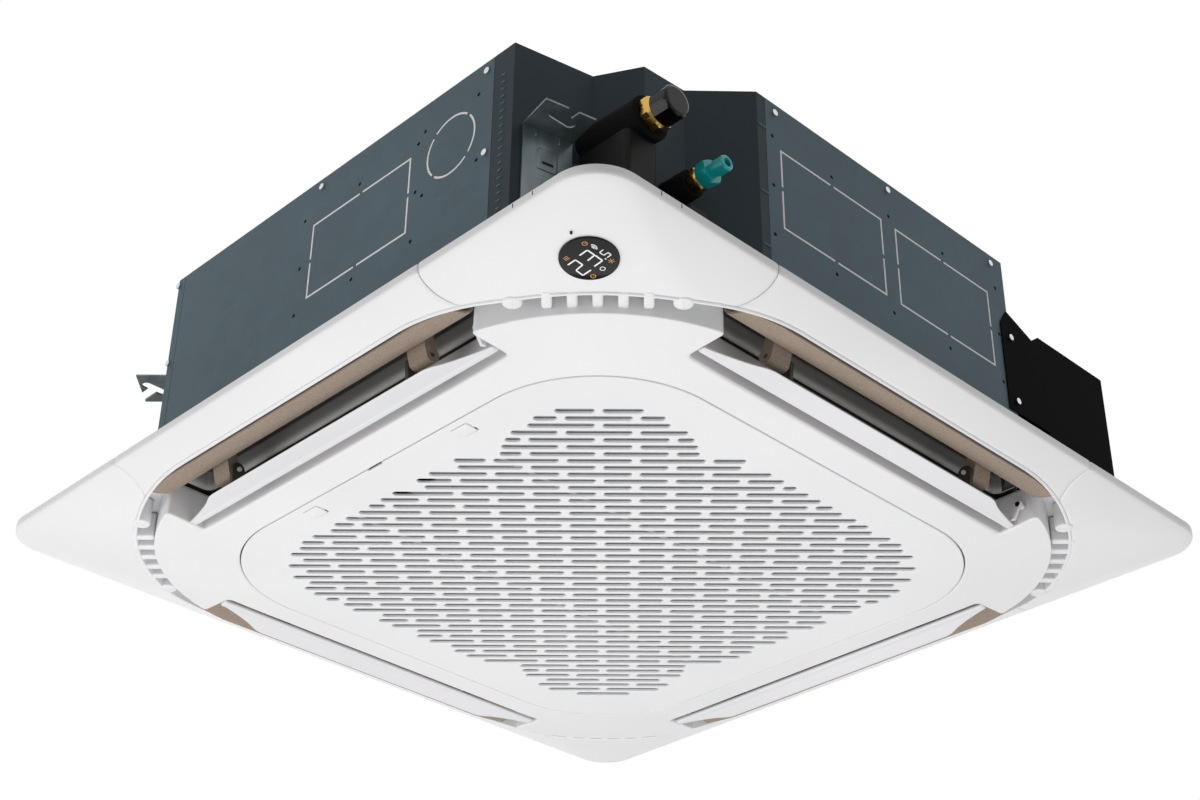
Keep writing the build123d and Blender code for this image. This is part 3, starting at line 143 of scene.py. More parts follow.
# ---- Finishes -------------------------------------------------------------------------------------
def galvanised_sheet(colour):
    """Galvanised and passivated steel sheet.

    A smooth blue-grey metal, whose zinc spangle is so low that it only clouds the tone.
    """
    made, tree, surface, place = material("galvanised_steel_sheet", colour, 0.5, 0.12, 0.12)
    cells = add(tree, "ShaderNodeTexVoronoi", {"Vector": place}, Scale=45.0)
    soft = add(tree, "ShaderNodeTexNoise", {"Vector": place}, Scale=5.0, Detail=3.0)
    split = add(tree, "ShaderNodeSeparateColor", {"Color": cells.outputs["Color"]})
    links = {2: split.outputs["Red"], 3: soft.outputs["Fac"]}
    mixed = add(tree, "ShaderNodeMix", links, data_type="FLOAT")
    mixed.inputs[0].default_value = 0.85
    tint(tree, surface, mixed.outputs[0], deeper(colour, 0.18), colour, (0.3, 0.7))
    grain(tree, surface, place, 2.0, 0.1, 0.06)
    return made


def recess_shade_sheet(colour):
    """Passivated steel sheet of the stepped corner, darkened with painted shade: matt slate, darker than the outer
    walls.
    """
    made, tree, surface, place = material("pipe_corner_painted_shade", colour, 0.5, 0.1, 0.12)
    soft = add(tree, "ShaderNodeTexNoise", {"Vector": place}, Scale=5.0, Detail=3.0)
    # Painted shade: the casing's sheet made darker for the recess, and clouded at random by the noise.
    tint(tree, surface, soft.outputs["Fac"], deeper(colour, 0.26), colour, (0.3, 0.7))
    return made


def scratched_zinc():
    """Zinc-plated bracket steel: a mid-grey metal, rolled and handled, with soft brighter streaks down it."""
    made, tree, surface, place = material("zinc_plated_steel", linear("#7b868a"), 0.34, 0.55)
    stretched = add(tree, "ShaderNodeMapping", {"Vector": place}, Scale=(20.0, 20.0, 5.0))
    streaks = add(tree, "ShaderNodeTexNoise", {"Vector": stretched.outputs[0]}, Scale=3.0, Detail=4.0)
    tint(tree, surface, streaks.outputs["Fac"], linear("#6a7579"), linear("#8b969a"), (0.3, 0.75))
    return made


def drawn_metal(name, code, rough, metallic=1.0):
    """Turned or drawn metal: an even tone with faint marks of the tool."""
    made, tree, surface, place = material(name, linear(code), rough, metallic)
    grain(tree, surface, place, 1.2, 0.05, 0.2, 2.0)
    return made


def moulded_plastic(name, colour, drift, rough, size_mm=0.9, height_mm=0.03, specular=0.5):
    """Injection-moulded plastic: its colour drifts a little over the moulding, with a fine eroded grain."""
    made, tree, surface, place = material(name, colour, rough, specular=specular)
    clouds = add(tree, "ShaderNodeTexNoise", {"Vector": place}, Scale=4.0, Detail=2.0)
    tint(tree, surface, clouds.outputs["Fac"], deeper(colour, drift), colour, (0.35, 0.65))
    grain(tree, surface, place, size_mm, height_mm, 0.25)
    return made


def foam(name, colour, drift, size_mm, height_mm):
    """Closed-cell foam: matt, with a skin of small cells that show as a fine pitted relief."""
    made, tree, surface, place = material(name, colour, 0.9, specular=0.1)
    cells = add(tree, "ShaderNodeTexVoronoi", {"Vector": place}, Scale=1000 / size_mm)
    tint(tree, surface, cells.outputs["Distance"], deeper(colour, drift), colour, (0.1, 0.7))
    relief(tree, surface, cells.outputs["Distance"], height_mm, 0.6)
    return made


def duct_foam_painted_light():
    """Moulded polystyrene duct: smooth and matt, with painted light: a painted highlight on its round foot and
    painted shade darker up the wall.
    """
    made, tree, surface, place = material("duct_polystyrene_painted_light", linear("#6a6a68"), 0.7, specular=0.3)
    # Painted light by height: palest on the foot as a painted highlight, darkest up under the lip as painted
    # shade.
    height = add(tree, "ShaderNodeSeparateXYZ", {"Vector": place}).outputs["Z"]
    share = add(tree, "ShaderNodeMapRange", {"Value": height}, From_Min=0.0, From_Max=45.0 * MM)
    foot, top = linear("#f4f4f2"), linear("#6e6e6c")
    ramp = tint(tree, surface, share.outputs["Result"], foot, top, (0.1, 0.95))
    ramp.color_ramp.elements.new(0.38).color = (*linear("#a9a9a6"), 1.0)
    return made


def finned_block():
    """Aluminium fins of the coil, pressed 1.6 mm apart: fine upright lines, drawn 4 mm apart to show."""
    made, tree, surface, place = material("coil_fin_aluminium", linear("#8b9093"), 0.4, 0.7)
    parts = add(tree, "ShaderNodeSeparateXYZ", {"Vector": place})
    total = add(tree, "ShaderNodeMath", {0: parts.outputs["X"], 1: parts.outputs["Y"]}, operation="ADD")
    lines = wave(tree, total.outputs[0], 4.0)
    tint(tree, surface, lines, linear("#3c4042"), linear("#a2a8ab"), (0.0, 0.8))
    return made


def woven_filter():
    """Polypropylene filter net: threads 1.5 mm apart over a light grey sheet, which look like a fine grid."""
    made, tree, surface, place = material("polypropylene_net", linear("#bfc0c1"), 0.75)
    parts = add(tree, "ShaderNodeSeparateXYZ", {"Vector": place})
    lines = {}
    for index, axis in enumerate(("X", "Y")):
        threads = wave(tree, parts.outputs[axis], 3.0)
        lines[index] = add(tree, "ShaderNodeMath", {0: threads}, operation="ABSOLUTE").outputs[0]
    net = add(tree, "ShaderNodeMath", lines, operation="MINIMUM")
    tint(tree, surface, net.outputs[0], linear("#d0d1d2"), linear("#a2a4a6"), (0.15, 0.8))
    return made


def finishes(paint):
    """The finish of each material slot of the CAD nodes."""
    return {
        "galvanised": galvanised_sheet(paint.casing),
        "hanger_steel": scratched_zinc(),
        "screw_steel": drawn_metal("bright_screw_steel", "#d4d6d6", 0.22),
        "white_plastic": moulded_plastic("white_abs_moulding", paint.panel, 0.037, 0.36),
        "vane_plastic": moulded_plastic("white_vane_moulding", paint.vanes, 0.047, 0.32),
        "lip_foam": foam("beige_duct_felt", paint.felt, 0.28, 1.6, 0.15),
        "arm_plastic": moulded_plastic("olive_acetal", paint.arms, 0.3, 0.45),
        "dark_foam": foam("charcoal_polystyrene", linear("#565552"), 0.265, 3.0, 0.15),
        "black_foam": foam("black_pipe_foam", linear("#171717"), 0.53, 1.8, 0.4),
        "black_plastic": moulded_plastic("black_abs_moulding", linear("#0f0f10"), 0.36, 0.45, specular=0.12),
        "gloss_black": moulded_plastic(
            "gloss_black_plastic", linear("#09090a"), 0.21, 0.07, 2.0, 0.004, 0.22
        ),
        "brass": drawn_metal("machined_brass", "#d0a855", 0.25),
        "copper": drawn_metal("drawn_copper", "#c98a62", 0.3),
        "teal_plastic": moulded_plastic("teal_plug_plastic", paint.plug, 0.19, 0.25),
        "black_steel": moulded_plastic("black_powder_coat", linear("#040405"), 0.55, 0.6, 1.1, 0.03, 0.02),
        "aluminium_fins": finned_block(),
        "motor_steel": drawn_metal("painted_motor_steel", "#6c7073", 0.45, 0.6),
        "fan_plastic": moulded_plastic("dark_fan_plastic", linear("#434448"), 0.295, 0.5),
        "filter_mesh": woven_filter(),
        "board_green": moulded_plastic("board_laminate", linear("#26693e"), 0.28, 0.35),
    }


def extra_finishes(paint):
    """Finishes that no CAD node has."""
    moulded_plastic("amber_indicator", paint.marks, 0.12, 0.35)
    moulded_plastic("white_segment", linear("#ffffff"), 0.035, 0.4)
    duct_foam_painted_light()
    # The white of the knockout cuts is a painted highlight of their bright cut edges.
    foam("knockout_cut_highlight", linear("#ffffff"), 0.095, 2.0, 0.2)


# ---- Surfaces worked out with numpy ---------------------------------------------------------------
# A shell is (points, corners of all its faces in one row, number of corners of each face).
def grid(points, wrap_rows=False, wrap_columns=False):
    """Quads of a grid of points: point (i, j) is joined to (i, j + 1), (i + 1, j + 1) and (i + 1, j)."""
    rows, columns = points.shape[:2]
    i, j = np.indices((rows if wrap_rows else rows - 1, columns if wrap_columns else columns - 1))
    here, below, beside = i * columns, (i + 1) % rows * columns, (j + 1) % columns
    quads = np.stack([here + j, here + beside, below + beside, below + j], axis=-1)
    return points.reshape(-1, 3), quads.ravel(), np.full(i.size, 4)


def tube(points):
    """A grid whose rows are closed rings, shut with one flat face at each end."""
    flat, corners, sizes = grid(points, wrap_columns=True)
    count = points.shape[1]
    first = np.arange(count)[::-1]
    last = np.arange(len(flat) - count, len(flat))
    return flat, np.concatenate([corners, first, last]), np.append(sizes, [count, count])


def ring(points):
    """A grid closed both ways, like a ring whose section is a closed profile."""
    return grid(points, wrap_rows=True, wrap_columns=True)


def mesh_shell(mesh):
    """The shell of a mesh, to be put in a piece."""
    points = np.empty(len(mesh.vertices) * 3)
    corners = np.empty(len(mesh.loops), int)
    sizes = np.empty(len(mesh.polygons), int)
    mesh.vertices.foreach_get("co", points)
    mesh.loops.foreach_get("vertex_index", corners)
    mesh.polygons.foreach_get("loop_total", sizes)
    return points.reshape(-1, 3), corners, sizes


def new_piece(context, name, shells, finish, body="unit", sharp=38):
    """One object from several shells: doubles within 0.5 micrometre are merged, faces turned outwards."""
    starts = np.cumsum([0, *(len(points) for points, _, _ in shells)])
    points = np.concatenate([shell[0] for shell in shells])
    corners = np.concatenate([shell[1] + start for shell, start in zip(shells, starts)])
    sizes = np.concatenate([shell[2] for shell in shells])
    mesh = bpy.data.meshes.new(name)
    mesh.vertices.add(len(points))
    mesh.vertices.foreach_set("co", points.ravel())
    mesh.loops.add(len(corners))
    mesh.loops.foreach_set("vertex_index", corners)
    mesh.polygons.add(len(sizes))
    mesh.polygons.foreach_set("loop_start", np.cumsum(sizes) - sizes)
    mesh.update(calc_edges=True)
    work = bmesh.new()
    work.from_mesh(mesh)
    bmesh.ops.remove_doubles(work, verts=work.verts, dist=5e-7)
    bmesh.ops.dissolve_degenerate(work, edges=work.edges, dist=5e-7)
    bmesh.ops.recalc_face_normals(work, faces=work.faces)
    work.to_mesh(mesh)
    work.free()
    mesh.polygons.foreach_set("use_smooth", np.ones(len(mesh.polygons), bool))
    mesh.set_sharp_from_angle(angle=math.radians(sharp))
    mesh.materials.append(bpy.data.materials[finish])
    obj = bpy.data.objects.new(name, mesh)
    context.scene.collection.objects.link(obj)
    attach(obj, body)
    return obj


def turned(degrees):
    """2 x 2 matrix for row vectors that turns them by degrees, clockwise seen from above when positive."""
    angle = math.radians(degrees)
    return np.array([[math.cos(angle), -math.sin(angle)], [math.sin(angle), math.cos(angle)]])


def circle(turn):
    """Points (cos t, sin t) of a circle of radius 1 at the angles given."""
    return np.stack([np.cos(turn), np.sin(turn)], axis=1)


def rounded_outline(half, corner, steps=20):
    """Closed rounded square, anticlockwise: four sides of even steps, joined by quarter circles."""
    flat = half - corner
    side = np.stack([np.linspace(-flat, flat, steps, endpoint=False), np.full(steps, -half)], axis=1)
    turn = np.linspace(-math.pi / 2, 0, steps, endpoint=False)
    quarter = np.concatenate([side, corner * circle(turn) + (flat, -flat)])
    return np.concatenate([quarter @ turned(-90 * k) for k in range(4)])


def inset(outline, distance):
    """Moves a closed anticlockwise outline inwards along the mitre of each corner.

    The new corner is corner + distance (n1 + n2) / (1 + n1 . n2), with n1 and n2 the inward normals.
    """
    before = outline - np.roll(outline, 1, axis=0)
    after = np.roll(outline, -1, axis=0) - outline
    before /= np.linalg.norm(before, axis=1, keepdims=True)
    after /= np.linalg.norm(after, axis=1, keepdims=True)
    first = np.stack([-before[:, 1], before[:, 0]], axis=1)
    second = np.stack([-after[:, 1], after[:, 0]], axis=1)
    mitre = (first + second) / (1 + np.sum(first * second, axis=1, keepdims=True))
    return outline + distance * mitre


def stacked(outline, levels, origin=(0, 0, 0), across=(1, 0, 0), along=(0, 1, 0)):
    """Rings of an outline in mm, one for each level (inset, height).

    A ring is the outline moved inwards by inset and raised by height along across x along.
    """
    across, along = np.array(across, float), np.array(along, float)
    up = np.cross(across, along)
    rings = []
    for distance, height in levels:
        flat = inset(outline, distance)
        rings.append(flat[:, :1] * across + flat[:, 1:] * along + height * up)
    return (np.stack(rings) + np.array(origin, float)) * MM


def soft_levels(low, high, radius, steps=4):
    """Levels of a block with both ends rounded.

    From each end they are (radius (1 - sin t), radius (1 - cos t)), with t from 0 to a right angle.
    """
    turn = np.linspace(0, math.pi / 2, steps + 1)
    inward, rise = radius * (1 - np.sin(turn)), radius * (1 - np.cos(turn))
    return [*zip(inward, low + rise), *zip(inward[::-1], high - rise[::-1])]


def axis_frame(direction):
    """A direction as an array, and two unit vectors square to it."""
    direction = np.array(direction, float)
    side = np.array([0, 0, 1.0]) if abs(direction[2]) < 0.9 else np.array([1.0, 0, 0])
    first = np.cross(side, direction)
    first /= np.linalg.norm(first)
    return direction, first, np.cross(direction, first)


def lathe(profile, origin, direction, count=48):
    """A profile of (distance, radius) turned round an axis.

    A point is origin + distance d + radius (cos t a + sin t b), with a and b square to d.
    """
    direction, first, second = axis_frame(direction)
    around = circle(np.linspace(0, 2 * math.pi, count, endpoint=False)) @ np.array([first, second])
    distance, radius = np.array(profile, float).T[..., None, None]
    return (distance * direction + radius * around + np.array(origin, float)) * MM


def prism(sides, flat, levels, origin, direction, count=72):
    """A nut or cap turned round an axis.

    At a level (distance, limit) its radius is flat / cos(angle to the nearest flat), at most limit.
    """
    step = 2 * math.pi / sides
    turn = np.linspace(0, 2 * math.pi, count, endpoint=False)
    reach = flat / np.cos((turn + step / 2) % step - step / 2)
    direction, first, second = axis_frame(direction)
    around = circle(turn) @ np.array([first, second])
    distance, limit = np.array(levels, float).T
    radius = np.minimum(reach, limit[:, None])
    points = distance[:, None, None] * direction + radius[..., None] * around
    return (points + np.array(origin, float)) * MM


def round_rectangle(width, height, radius, steps=5, middle=(0, 0)):
    """Closed rectangle with quarter-circle corners, anticlockwise, in mm."""
    turn = np.linspace(0, math.pi / 2, steps + 1)
    arcs = []
    for k, (sx, sy) in enumerate(((1, -1), (1, 1), (-1, 1), (-1, -1))):
        centre = np.array([sx * (width / 2 - radius), sy * (height / 2 - radius)])
        arcs.append(centre + radius * circle(turn + (k - 1) * math.pi / 2))
    return np.concatenate(arcs) + np.array(middle, float)


def stroke(start, end, width, steps=5):
    """Outline of a bar with round ends from start to end: two half circles of half the width."""
    start, end = np.array(start, float), np.array(end, float)
    angle = math.atan2(end[1] - start[1], end[0] - start[0])
    half = width / 2 * circle(np.linspace(-math.pi / 2, math.pi / 2, steps) + angle)
    return np.concatenate([end + half, start - half])


def place_side(points, turn):
    """Turns points of the front side to another side, by turn degrees about the vertical."""
    flat = points[..., :2] @ turned(-turn)
    return np.concatenate([flat, points[..., 2:]], axis=-1)


def plate_with_holes(name, outlines, low, thickness, edge, steps=2):
    """Mesh of a flat plate cut by holes: a filled flat curve given its thickness and a rounded edge."""
    curve = bpy.data.curves.new(name, "CURVE")
    curve.dimensions = "2D"
    curve.fill_mode = "BOTH"
    for outline in outlines:
        spline = curve.splines.new("POLY")
        spline.points.add(len(outline) - 1)
        flat = np.column_stack([outline * MM, np.zeros(len(outline)), np.ones(len(outline))])
        spline.points.foreach_set("co", flat.ravel())
        spline.use_cyclic_u = True
    curve.bevel_depth = edge * MM
    curve.bevel_resolution = steps
    curve.offset = -edge * MM
    curve.extrude = (thickness / 2 - edge) * MM
    holder = bpy.data.objects.new(name, curve)
    mesh = bpy.data.meshes.new_from_object(holder)
    bpy.data.objects.remove(holder)
    bpy.data.curves.remove(curve)
    mesh.transform(Matrix.Translation((0, 0, (low + thickness / 2) * MM)))
    return mesh


# ---- Shape of the panel ---------------------------------------------------------------------------
# A rounded square is (half side, corner radius) in mm, and a level is (height, half side, radius).
RIM = (node_box("panel_frame")[1][0], 46.0)
OPENING = (441.5, 269.5)
SEAM = (322.0, 140.0)
TAB = (414.0, 229.0)
PILLOW = ((-9.0, *RIM), (-24.5, 438.0, 89.0), (-34.0, 405.0, 154.0))
DOME = ((-48.0, *SEAM), (-45.0, 359.0, 176.0), (-41.0, *TAB))
WALL_TOP = node_box("centre_panel")[1][2]
OUTLET_HALF = 241.5
OUTLET_EDGE = 359.0
RIM_SEAM = 245.0
OPENING_SEAM = 252.0
GRILLE_GAP = 1.1


def through(levels, q):
    """Quadratic through three values at q = 0, 1 and 2: a + q (b - a) + q (q - 1) / 2 (c - 2 b + a)."""
    a, b, c = levels
    return a + q * (b - a) + q * (q - 1) / 2 * (c - 2 * b + a)


def bezier(t, a, b, c):
    """Quadratic from a to c, drawn towards b: (1 - t)^2 a + 2 t (1 - t) b + t^2 c."""
    return (1 - t) ** 2 * a + 2 * t * (1 - t) * b + t**2 * c


def skin(x, y, levels):
    """Height of a surface lofted through three rounded squares.

    The level q whose outline passes (x, y) is found by halving, and then its height is taken.
    """
    heights, halves, corners = zip(*levels)
    grows = halves[2] > halves[0]
    low, high = np.full(x.shape, -1.0), np.full(x.shape, 3.2)
    for _ in range(40):
        q = (low + high) / 2
        corner = np.maximum(through(corners, q), 1.0)
        flat = through(halves, q) - corner
        over_x, over_y = np.abs(x) - flat, np.abs(y) - flat
        outside = np.hypot(np.maximum(over_x, 0), np.maximum(over_y, 0))
        gap = outside + np.minimum(np.maximum(over_x, over_y), 0) - corner
        rising = (gap > 0) == grows
        low, high = np.where(rising, q, low), np.where(rising, high, q)
    return through(heights, (low + high) / 2)


def front_edge(half, corner, x):
    """y of a rounded square's front at x: -(half - corner + sqrt(corner^2 - (|x| - half + corner)^2))."""
    over = np.clip(np.abs(x) - (half - corner), 0, corner)
    return -(half - corner + np.sqrt(corner**2 - over**2))


def diagonal(half, corner):
    """x where a rounded square meets its diagonal: half - corner (1 - 1 / sqrt 2)."""
    return half - corner * (1 - math.sqrt(0.5))


def front_x(place, seam, half, corner):
    """x at a place along the front: 0 to 1 from mid-side to the cover seam, 1 to 2 on to the diagonal."""
    size = np.abs(place)
    beyond = seam + (diagonal(half, corner) - seam) * np.clip(size - 1, 0, 1)
    return np.sign(place) * np.where(size <= 1, seam * size, beyond)


def panel_line(place, share):
    """Plan points of the panel skin at a share of the way from the rim to the opening.

    They lie on straight lines across it, which bow by -26 share (1 - share) mm at the cover seams.
    """
    rim_x = front_x(place, RIM_SEAM, *RIM)
    opening_x = front_x(place, OPENING_SEAM, *OPENING)
    rim_y, opening_y = front_edge(*RIM, rim_x), front_edge(*OPENING, opening_x)
    near_seam = np.where(np.abs(place) <= 1, place, np.sign(place) * (2 - np.abs(place)))
    bow = -26.0 * share * (1 - share) * near_seam
    return rim_x + (opening_x - rim_x) * share + bow, rim_y + (opening_y - rim_y) * share


def panel_columns(place):
    """Closed section of the panel skin at each place.

    It runs down the rim, round its 3 mm edge, along the pillow, up the opening and back 3 mm inside.
    """
    top, wall = -0.05, 3.2
    rim_steps = [(0.0, top), (0.0, -3.0), (0.0, -6.6), (0.35, -8.2), (1.1, -9.3), (2.0, -9.95)]
    outer = []
    for step, height in rim_steps:
        square = [size - step for size in RIM]
        x = front_x(place, RIM_SEAM, *square)
        outer.append(np.stack([x, front_edge(*square, x), np.full(x.shape, height)], axis=-1))
    for share in (0.095, *np.linspace(0.13, 0.97, 16), 0.985, 1.0):
        x, y = panel_line(place, share)
        lift = 1.0 if share == 1.0 else (0.25 if share > 0.98 else 0.0)
        outer.append(np.stack([x, y, skin(x, y, PILLOW) + lift], axis=-1))
    x, y = panel_line(place, 1.0)
    outer.append(np.stack([x, y, np.full(x.shape, WALL_TOP)], axis=-1))
    inner = []
    for share in (0.93, 0.92, 0.6, 0.3, 0.12):
        x, y = panel_line(place, share)
        height = np.full(x.shape, WALL_TOP) if share == 0.93 else skin(x, y, PILLOW) + wall
        inner.append(np.stack([x, y, height], axis=-1))
    x, y = panel_line(place, 0.08)
    inner.append(np.stack([x, y, np.full(x.shape, top)], axis=-1))
    return np.stack(outer + inner, axis=1), len(outer)


def soften_ends(points, outside, first, last):
    """Rounds the cut ends of a skin, so that a seam shows.

    Its end rows sink by 1.1, 0.5 and 0.15 mm, the rim along first or last and the underside upwards.
    """
    rim = 5
    for end, inward in ((0, first), (-1, last)):
        for row, drop in enumerate((1.1, 0.5, 0.15)):
            index = row if end == 0 else -1 - row
            points[index, :rim] += drop * np.array(inward, float)
            points[index, rim:outside] += (0.0, 0.0, drop)
    return points


def seam_places(start, stop, count):
    """Even places with three extra near each end for the rounding there."""
    inner = np.linspace(start, stop, count)
    edge = np.array([0.0, 0.0012, 0.0035])
    return np.concatenate([start + edge, inner[1:-1], stop - edge[::-1]])


def mirror_corner(points):
    """Reflects front-side points across the corner's diagonal: (x, y) becomes (-y, -x)."""
    return np.stack([-points[..., 1], -points[..., 0], points[..., 2]], axis=-1)[::-1]


def panel_side():
    """The skin between two corner covers, on the front side."""
    points, outside = panel_columns(seam_places(-0.9985, 0.9985, 61))
    return soften_ends(points, outside, (0, 1, 0), (0, 1, 0)) * MM


def panel_corner():
    """One corner cover, at the front right: half of it and its reflection."""
    place = np.concatenate([[1.0015, 1.006, 1.014], 1.02 + 0.98 * np.linspace(0, 1, 34) ** 0.8])
    half, outside = panel_columns(place)
    whole = np.concatenate([half, mirror_corner(half)[1:]])
    return soften_ends(whole, outside, (0, 1, 0), (-1, 0, 0)) * MM


def bead_ring(width):
    """Trim bead round the opening: a line with a round face 0.9 mm below the skin, all the way round."""
    inner_half, inner_corner = 438.0, 266.0
    face_radius, face_level = 1.25, 0.35
    along_side, to_diagonal = 60, 40
    straight = np.linspace(-1, 1, along_side, endpoint=False)
    place = np.concatenate([straight, 1 + np.linspace(0, 1, to_diagonal, endpoint=False)])

    def section(out):
        square = (inner_half + out, inner_corner + out)
        x = front_x(place, OPENING_SEAM, *square)
        return x, front_edge(*square, x)

    sections = []
    for angle in np.linspace(0, math.pi, 9):
        x, y = section(width / 2 * (1 + math.cos(angle)))
        height = skin(x, y, PILLOW) + face_level - face_radius * math.sin(angle)
        sections.append(np.stack([x, y, height], axis=-1))
    for out in (0.0, width):
        sections.append(np.stack([*section(out), np.full(place.shape, WALL_TOP)], axis=-1))
    quarter = np.stack(sections, axis=1)
    reflected = mirror_corner(quarter[along_side:])
    diagonal_row = (quarter[-1:] + reflected[:1]) / 2
    quarter = np.concatenate([quarter, diagonal_row, reflected[:-1]])
    return np.concatenate([place_side(quarter, turn) for turn in SIDES.values()]) * MM


def centre_outline():
    """Edge of the centre panel, the seam points matched to it and the radius of its edge, as closed loops.

    Each is worked out for half a side, reflected, and turned four times. The edge runs along the outlet,
    round a 5 mm corner, down the outlet's end, and by a soft bend into the tab's round.
    """
    fillet, end_start, end_stop, bend_to, tab_start = 5.0, -367.0, -400.5, -406.7, 249.0
    soft_edge, crisp_edge = 3.6, 1.6
    turn = np.linspace(0, math.pi / 2, 6)
    t = np.linspace(0.12, 1, 7)
    tab_y = float(front_edge(*TAB, np.array(tab_start)))
    arc = np.linspace(252.5, diagonal(*TAB), 26)
    parts = (
        (np.linspace(0, 232, 30), np.full(30, -OUTLET_EDGE)),
        (OUTLET_HALF + fillet * (np.sin(turn) - 1), -OUTLET_EDGE + fillet * (np.cos(turn) - 1)),
        (np.full(9, OUTLET_HALF), np.linspace(end_start, end_stop, 9)),
        (bezier(t, OUTLET_HALF, OUTLET_HALF, tab_start), bezier(t, end_stop, bend_to, tab_y)),
        (arc, front_edge(*TAB, arc)),
    )
    edge = np.concatenate([np.column_stack(part) for part in parts])
    shared = 35
    seam_x = np.linspace(OUTLET_HALF, diagonal(*SEAM), len(edge) - shared)
    seam_x = np.concatenate([edge[:shared, 0], seam_x])
    seam = np.stack([seam_x, front_edge(*SEAM, seam_x)], axis=1)
    tab_point = len(edge) - 30
    soft = np.interp(np.arange(len(edge)), [shared, tab_point], [soft_edge, crisp_edge])
    loops = []
    for half in (edge, seam):
        side = np.concatenate([half[1:][::-1] * (-1, 1), half[:-1]])
        loops.append(np.concatenate([side @ turned(-90 * k) for k in range(4)]))
    radii = np.concatenate([soft[1:][::-1], soft[:-1]])
    return *loops, np.tile(radii, 4)[:, None]


def centre_skin():
    """The centre panel, as rings from the grille seam outwards and back inside.

    They follow the domed underside, a round edge, soft at the outlets and crisp on the tabs, the duct
    walls, and a wall 3 mm further in.
    """
    edge, seam, radius = centre_outline()
    lip, near = inset(seam, -1.8), inset(edge, radius)

    def level(plan, height):
        return np.column_stack([plan, np.full(len(plan), height)])

    def domed(plan, rise=0.0):
        return level(plan, skin(*plan.T, DOME) + rise)

    base, seam_level = skin(*near.T, DOME), skin(*seam.T, DOME)
    rows = [level(seam, -45.0)]
    rows += [level(inset(seam, -0.3), seam_level + 1.2), level(inset(seam, -0.9), seam_level + 0.4)]
    rows.append(domed(lip))
    for share in (0.012, *np.linspace(0.08, 0.93, 13), 0.985, 1.0):
        rows.append(domed(lip + (near - lip) * share))
    for angle in np.linspace(0, math.pi / 2, 7)[1:]:
        plan = inset(edge, radius * (1 - math.sin(angle)))
        rows.append(level(plan, base + radius[:, 0] * (1 - math.cos(angle))))
    back, inner_edge, inner_seam = inset(edge, 3.0), inset(edge, 5.0), inset(seam, -2.5)
    collar_top = -35.0
    rows += [level(edge, WALL_TOP), level(back, WALL_TOP), level(back, base + 7), level(inner_edge, base + 4)]
    rows += [domed(inner_seam, 3), level(inner_seam, collar_top), level(seam, collar_top)]
    return np.stack(rows) * MM


def vane_surface(width, tilt):
    """One vane, on the front side: a round bead at its inner edge, then a thin blade, tapered at its ends.

    A section is a closed outline of (chord, normal), scaled to the width at each place along, and turned
    by the tilt: y = -372 - chord cos - normal sin, z = -40.5 - chord sin + normal cos.
    """
    half = node_box("vane_front")[1][0]
    bead, bead_y, bead_z = 2.6, -372.0, -40.5
    from_end = np.array([0, 0.4, 1.4, 3.2, 6, 9.5, 14, 19, 25, 30, 36, 44, 52, 59, 65, 72])
    along = np.concatenate([from_end - half, np.linspace(-160, 160, 33), (half - from_end)[::-1]])
    stations = (0, 168, 175, 181, 188, 196, 204, 214, 224, 232, half)
    cut_away = np.array([0, 0.3, 1.6, 4.2, 7.7, 10.9, 13.6, 16.6, 19.4, 21.4, 23.2])
    wide = np.interp(np.abs(along), stations, width - cut_away)[:, None]
    share = np.array([0.0, 0.03, 0.1, 0.25, 0.45, 0.65, 0.82, 0.93, 0.985, 1.0])
    thick = np.array([1.75, 1.5, 1.45, 1.4, 1.3, 1.2, 1.1, 0.95, 0.6, 0.0])
    turn = np.linspace(math.pi * 0.5, math.pi * 1.5, 9)
    start = np.minimum(5.0, wide - 0.4)
    neck = start * 0.62
    lower = start + (wide - start) * share
    around = np.ones_like(wide) * bead * np.cos(turn)
    chord = np.concatenate([around, neck, lower, lower[:, -2::-1], neck], axis=1)
    normal = np.concatenate([bead * np.sin(turn), [-2.15], -thick, thick[-2::-1], [2.15]])
    normal = normal * np.minimum(1.0, 0.25 + (half - np.abs(along[:, None])) / 2.2)
    x = along[:, None] * np.ones_like(chord)
    y = bead_y - chord * math.cos(tilt) - normal * math.sin(tilt)
    z = bead_z - chord * math.sin(tilt) + normal * math.cos(tilt)
    return np.stack([x, y, z], axis=-1) * MM


def duct_wall():
    """Wall of one outlet's duct, on the front side: a rounded rectangle all round.

    Its section comes in at a round foot 3.6 mm deep and 8 mm high, rises past a low step half-way up
    and closes behind itself.
    """
    foot = [(-3.6 * (1 - math.sin(t)), 5.6 + 8 * (1 - math.cos(t))) for t in np.linspace(0, math.pi / 2, 7)]
    step = [(0.0, 24.0), (0.8, 25.2), (0.8, 27.6), (0.1, 29.0), (0.1, 49.5)]
    behind = [(-3.0, 49.5), (-3.0, 16.0), (-3.8, 7.6)]
    outline = round_rectangle(482, 42, 6, 6, (0, -380))
    return stacked(outline, foot + step + behind)


# ---- Shape of the grille --------------------------------------------------------------------------
LATCHES = {"left": -118, "right": 118}
LATCH_Y = -304


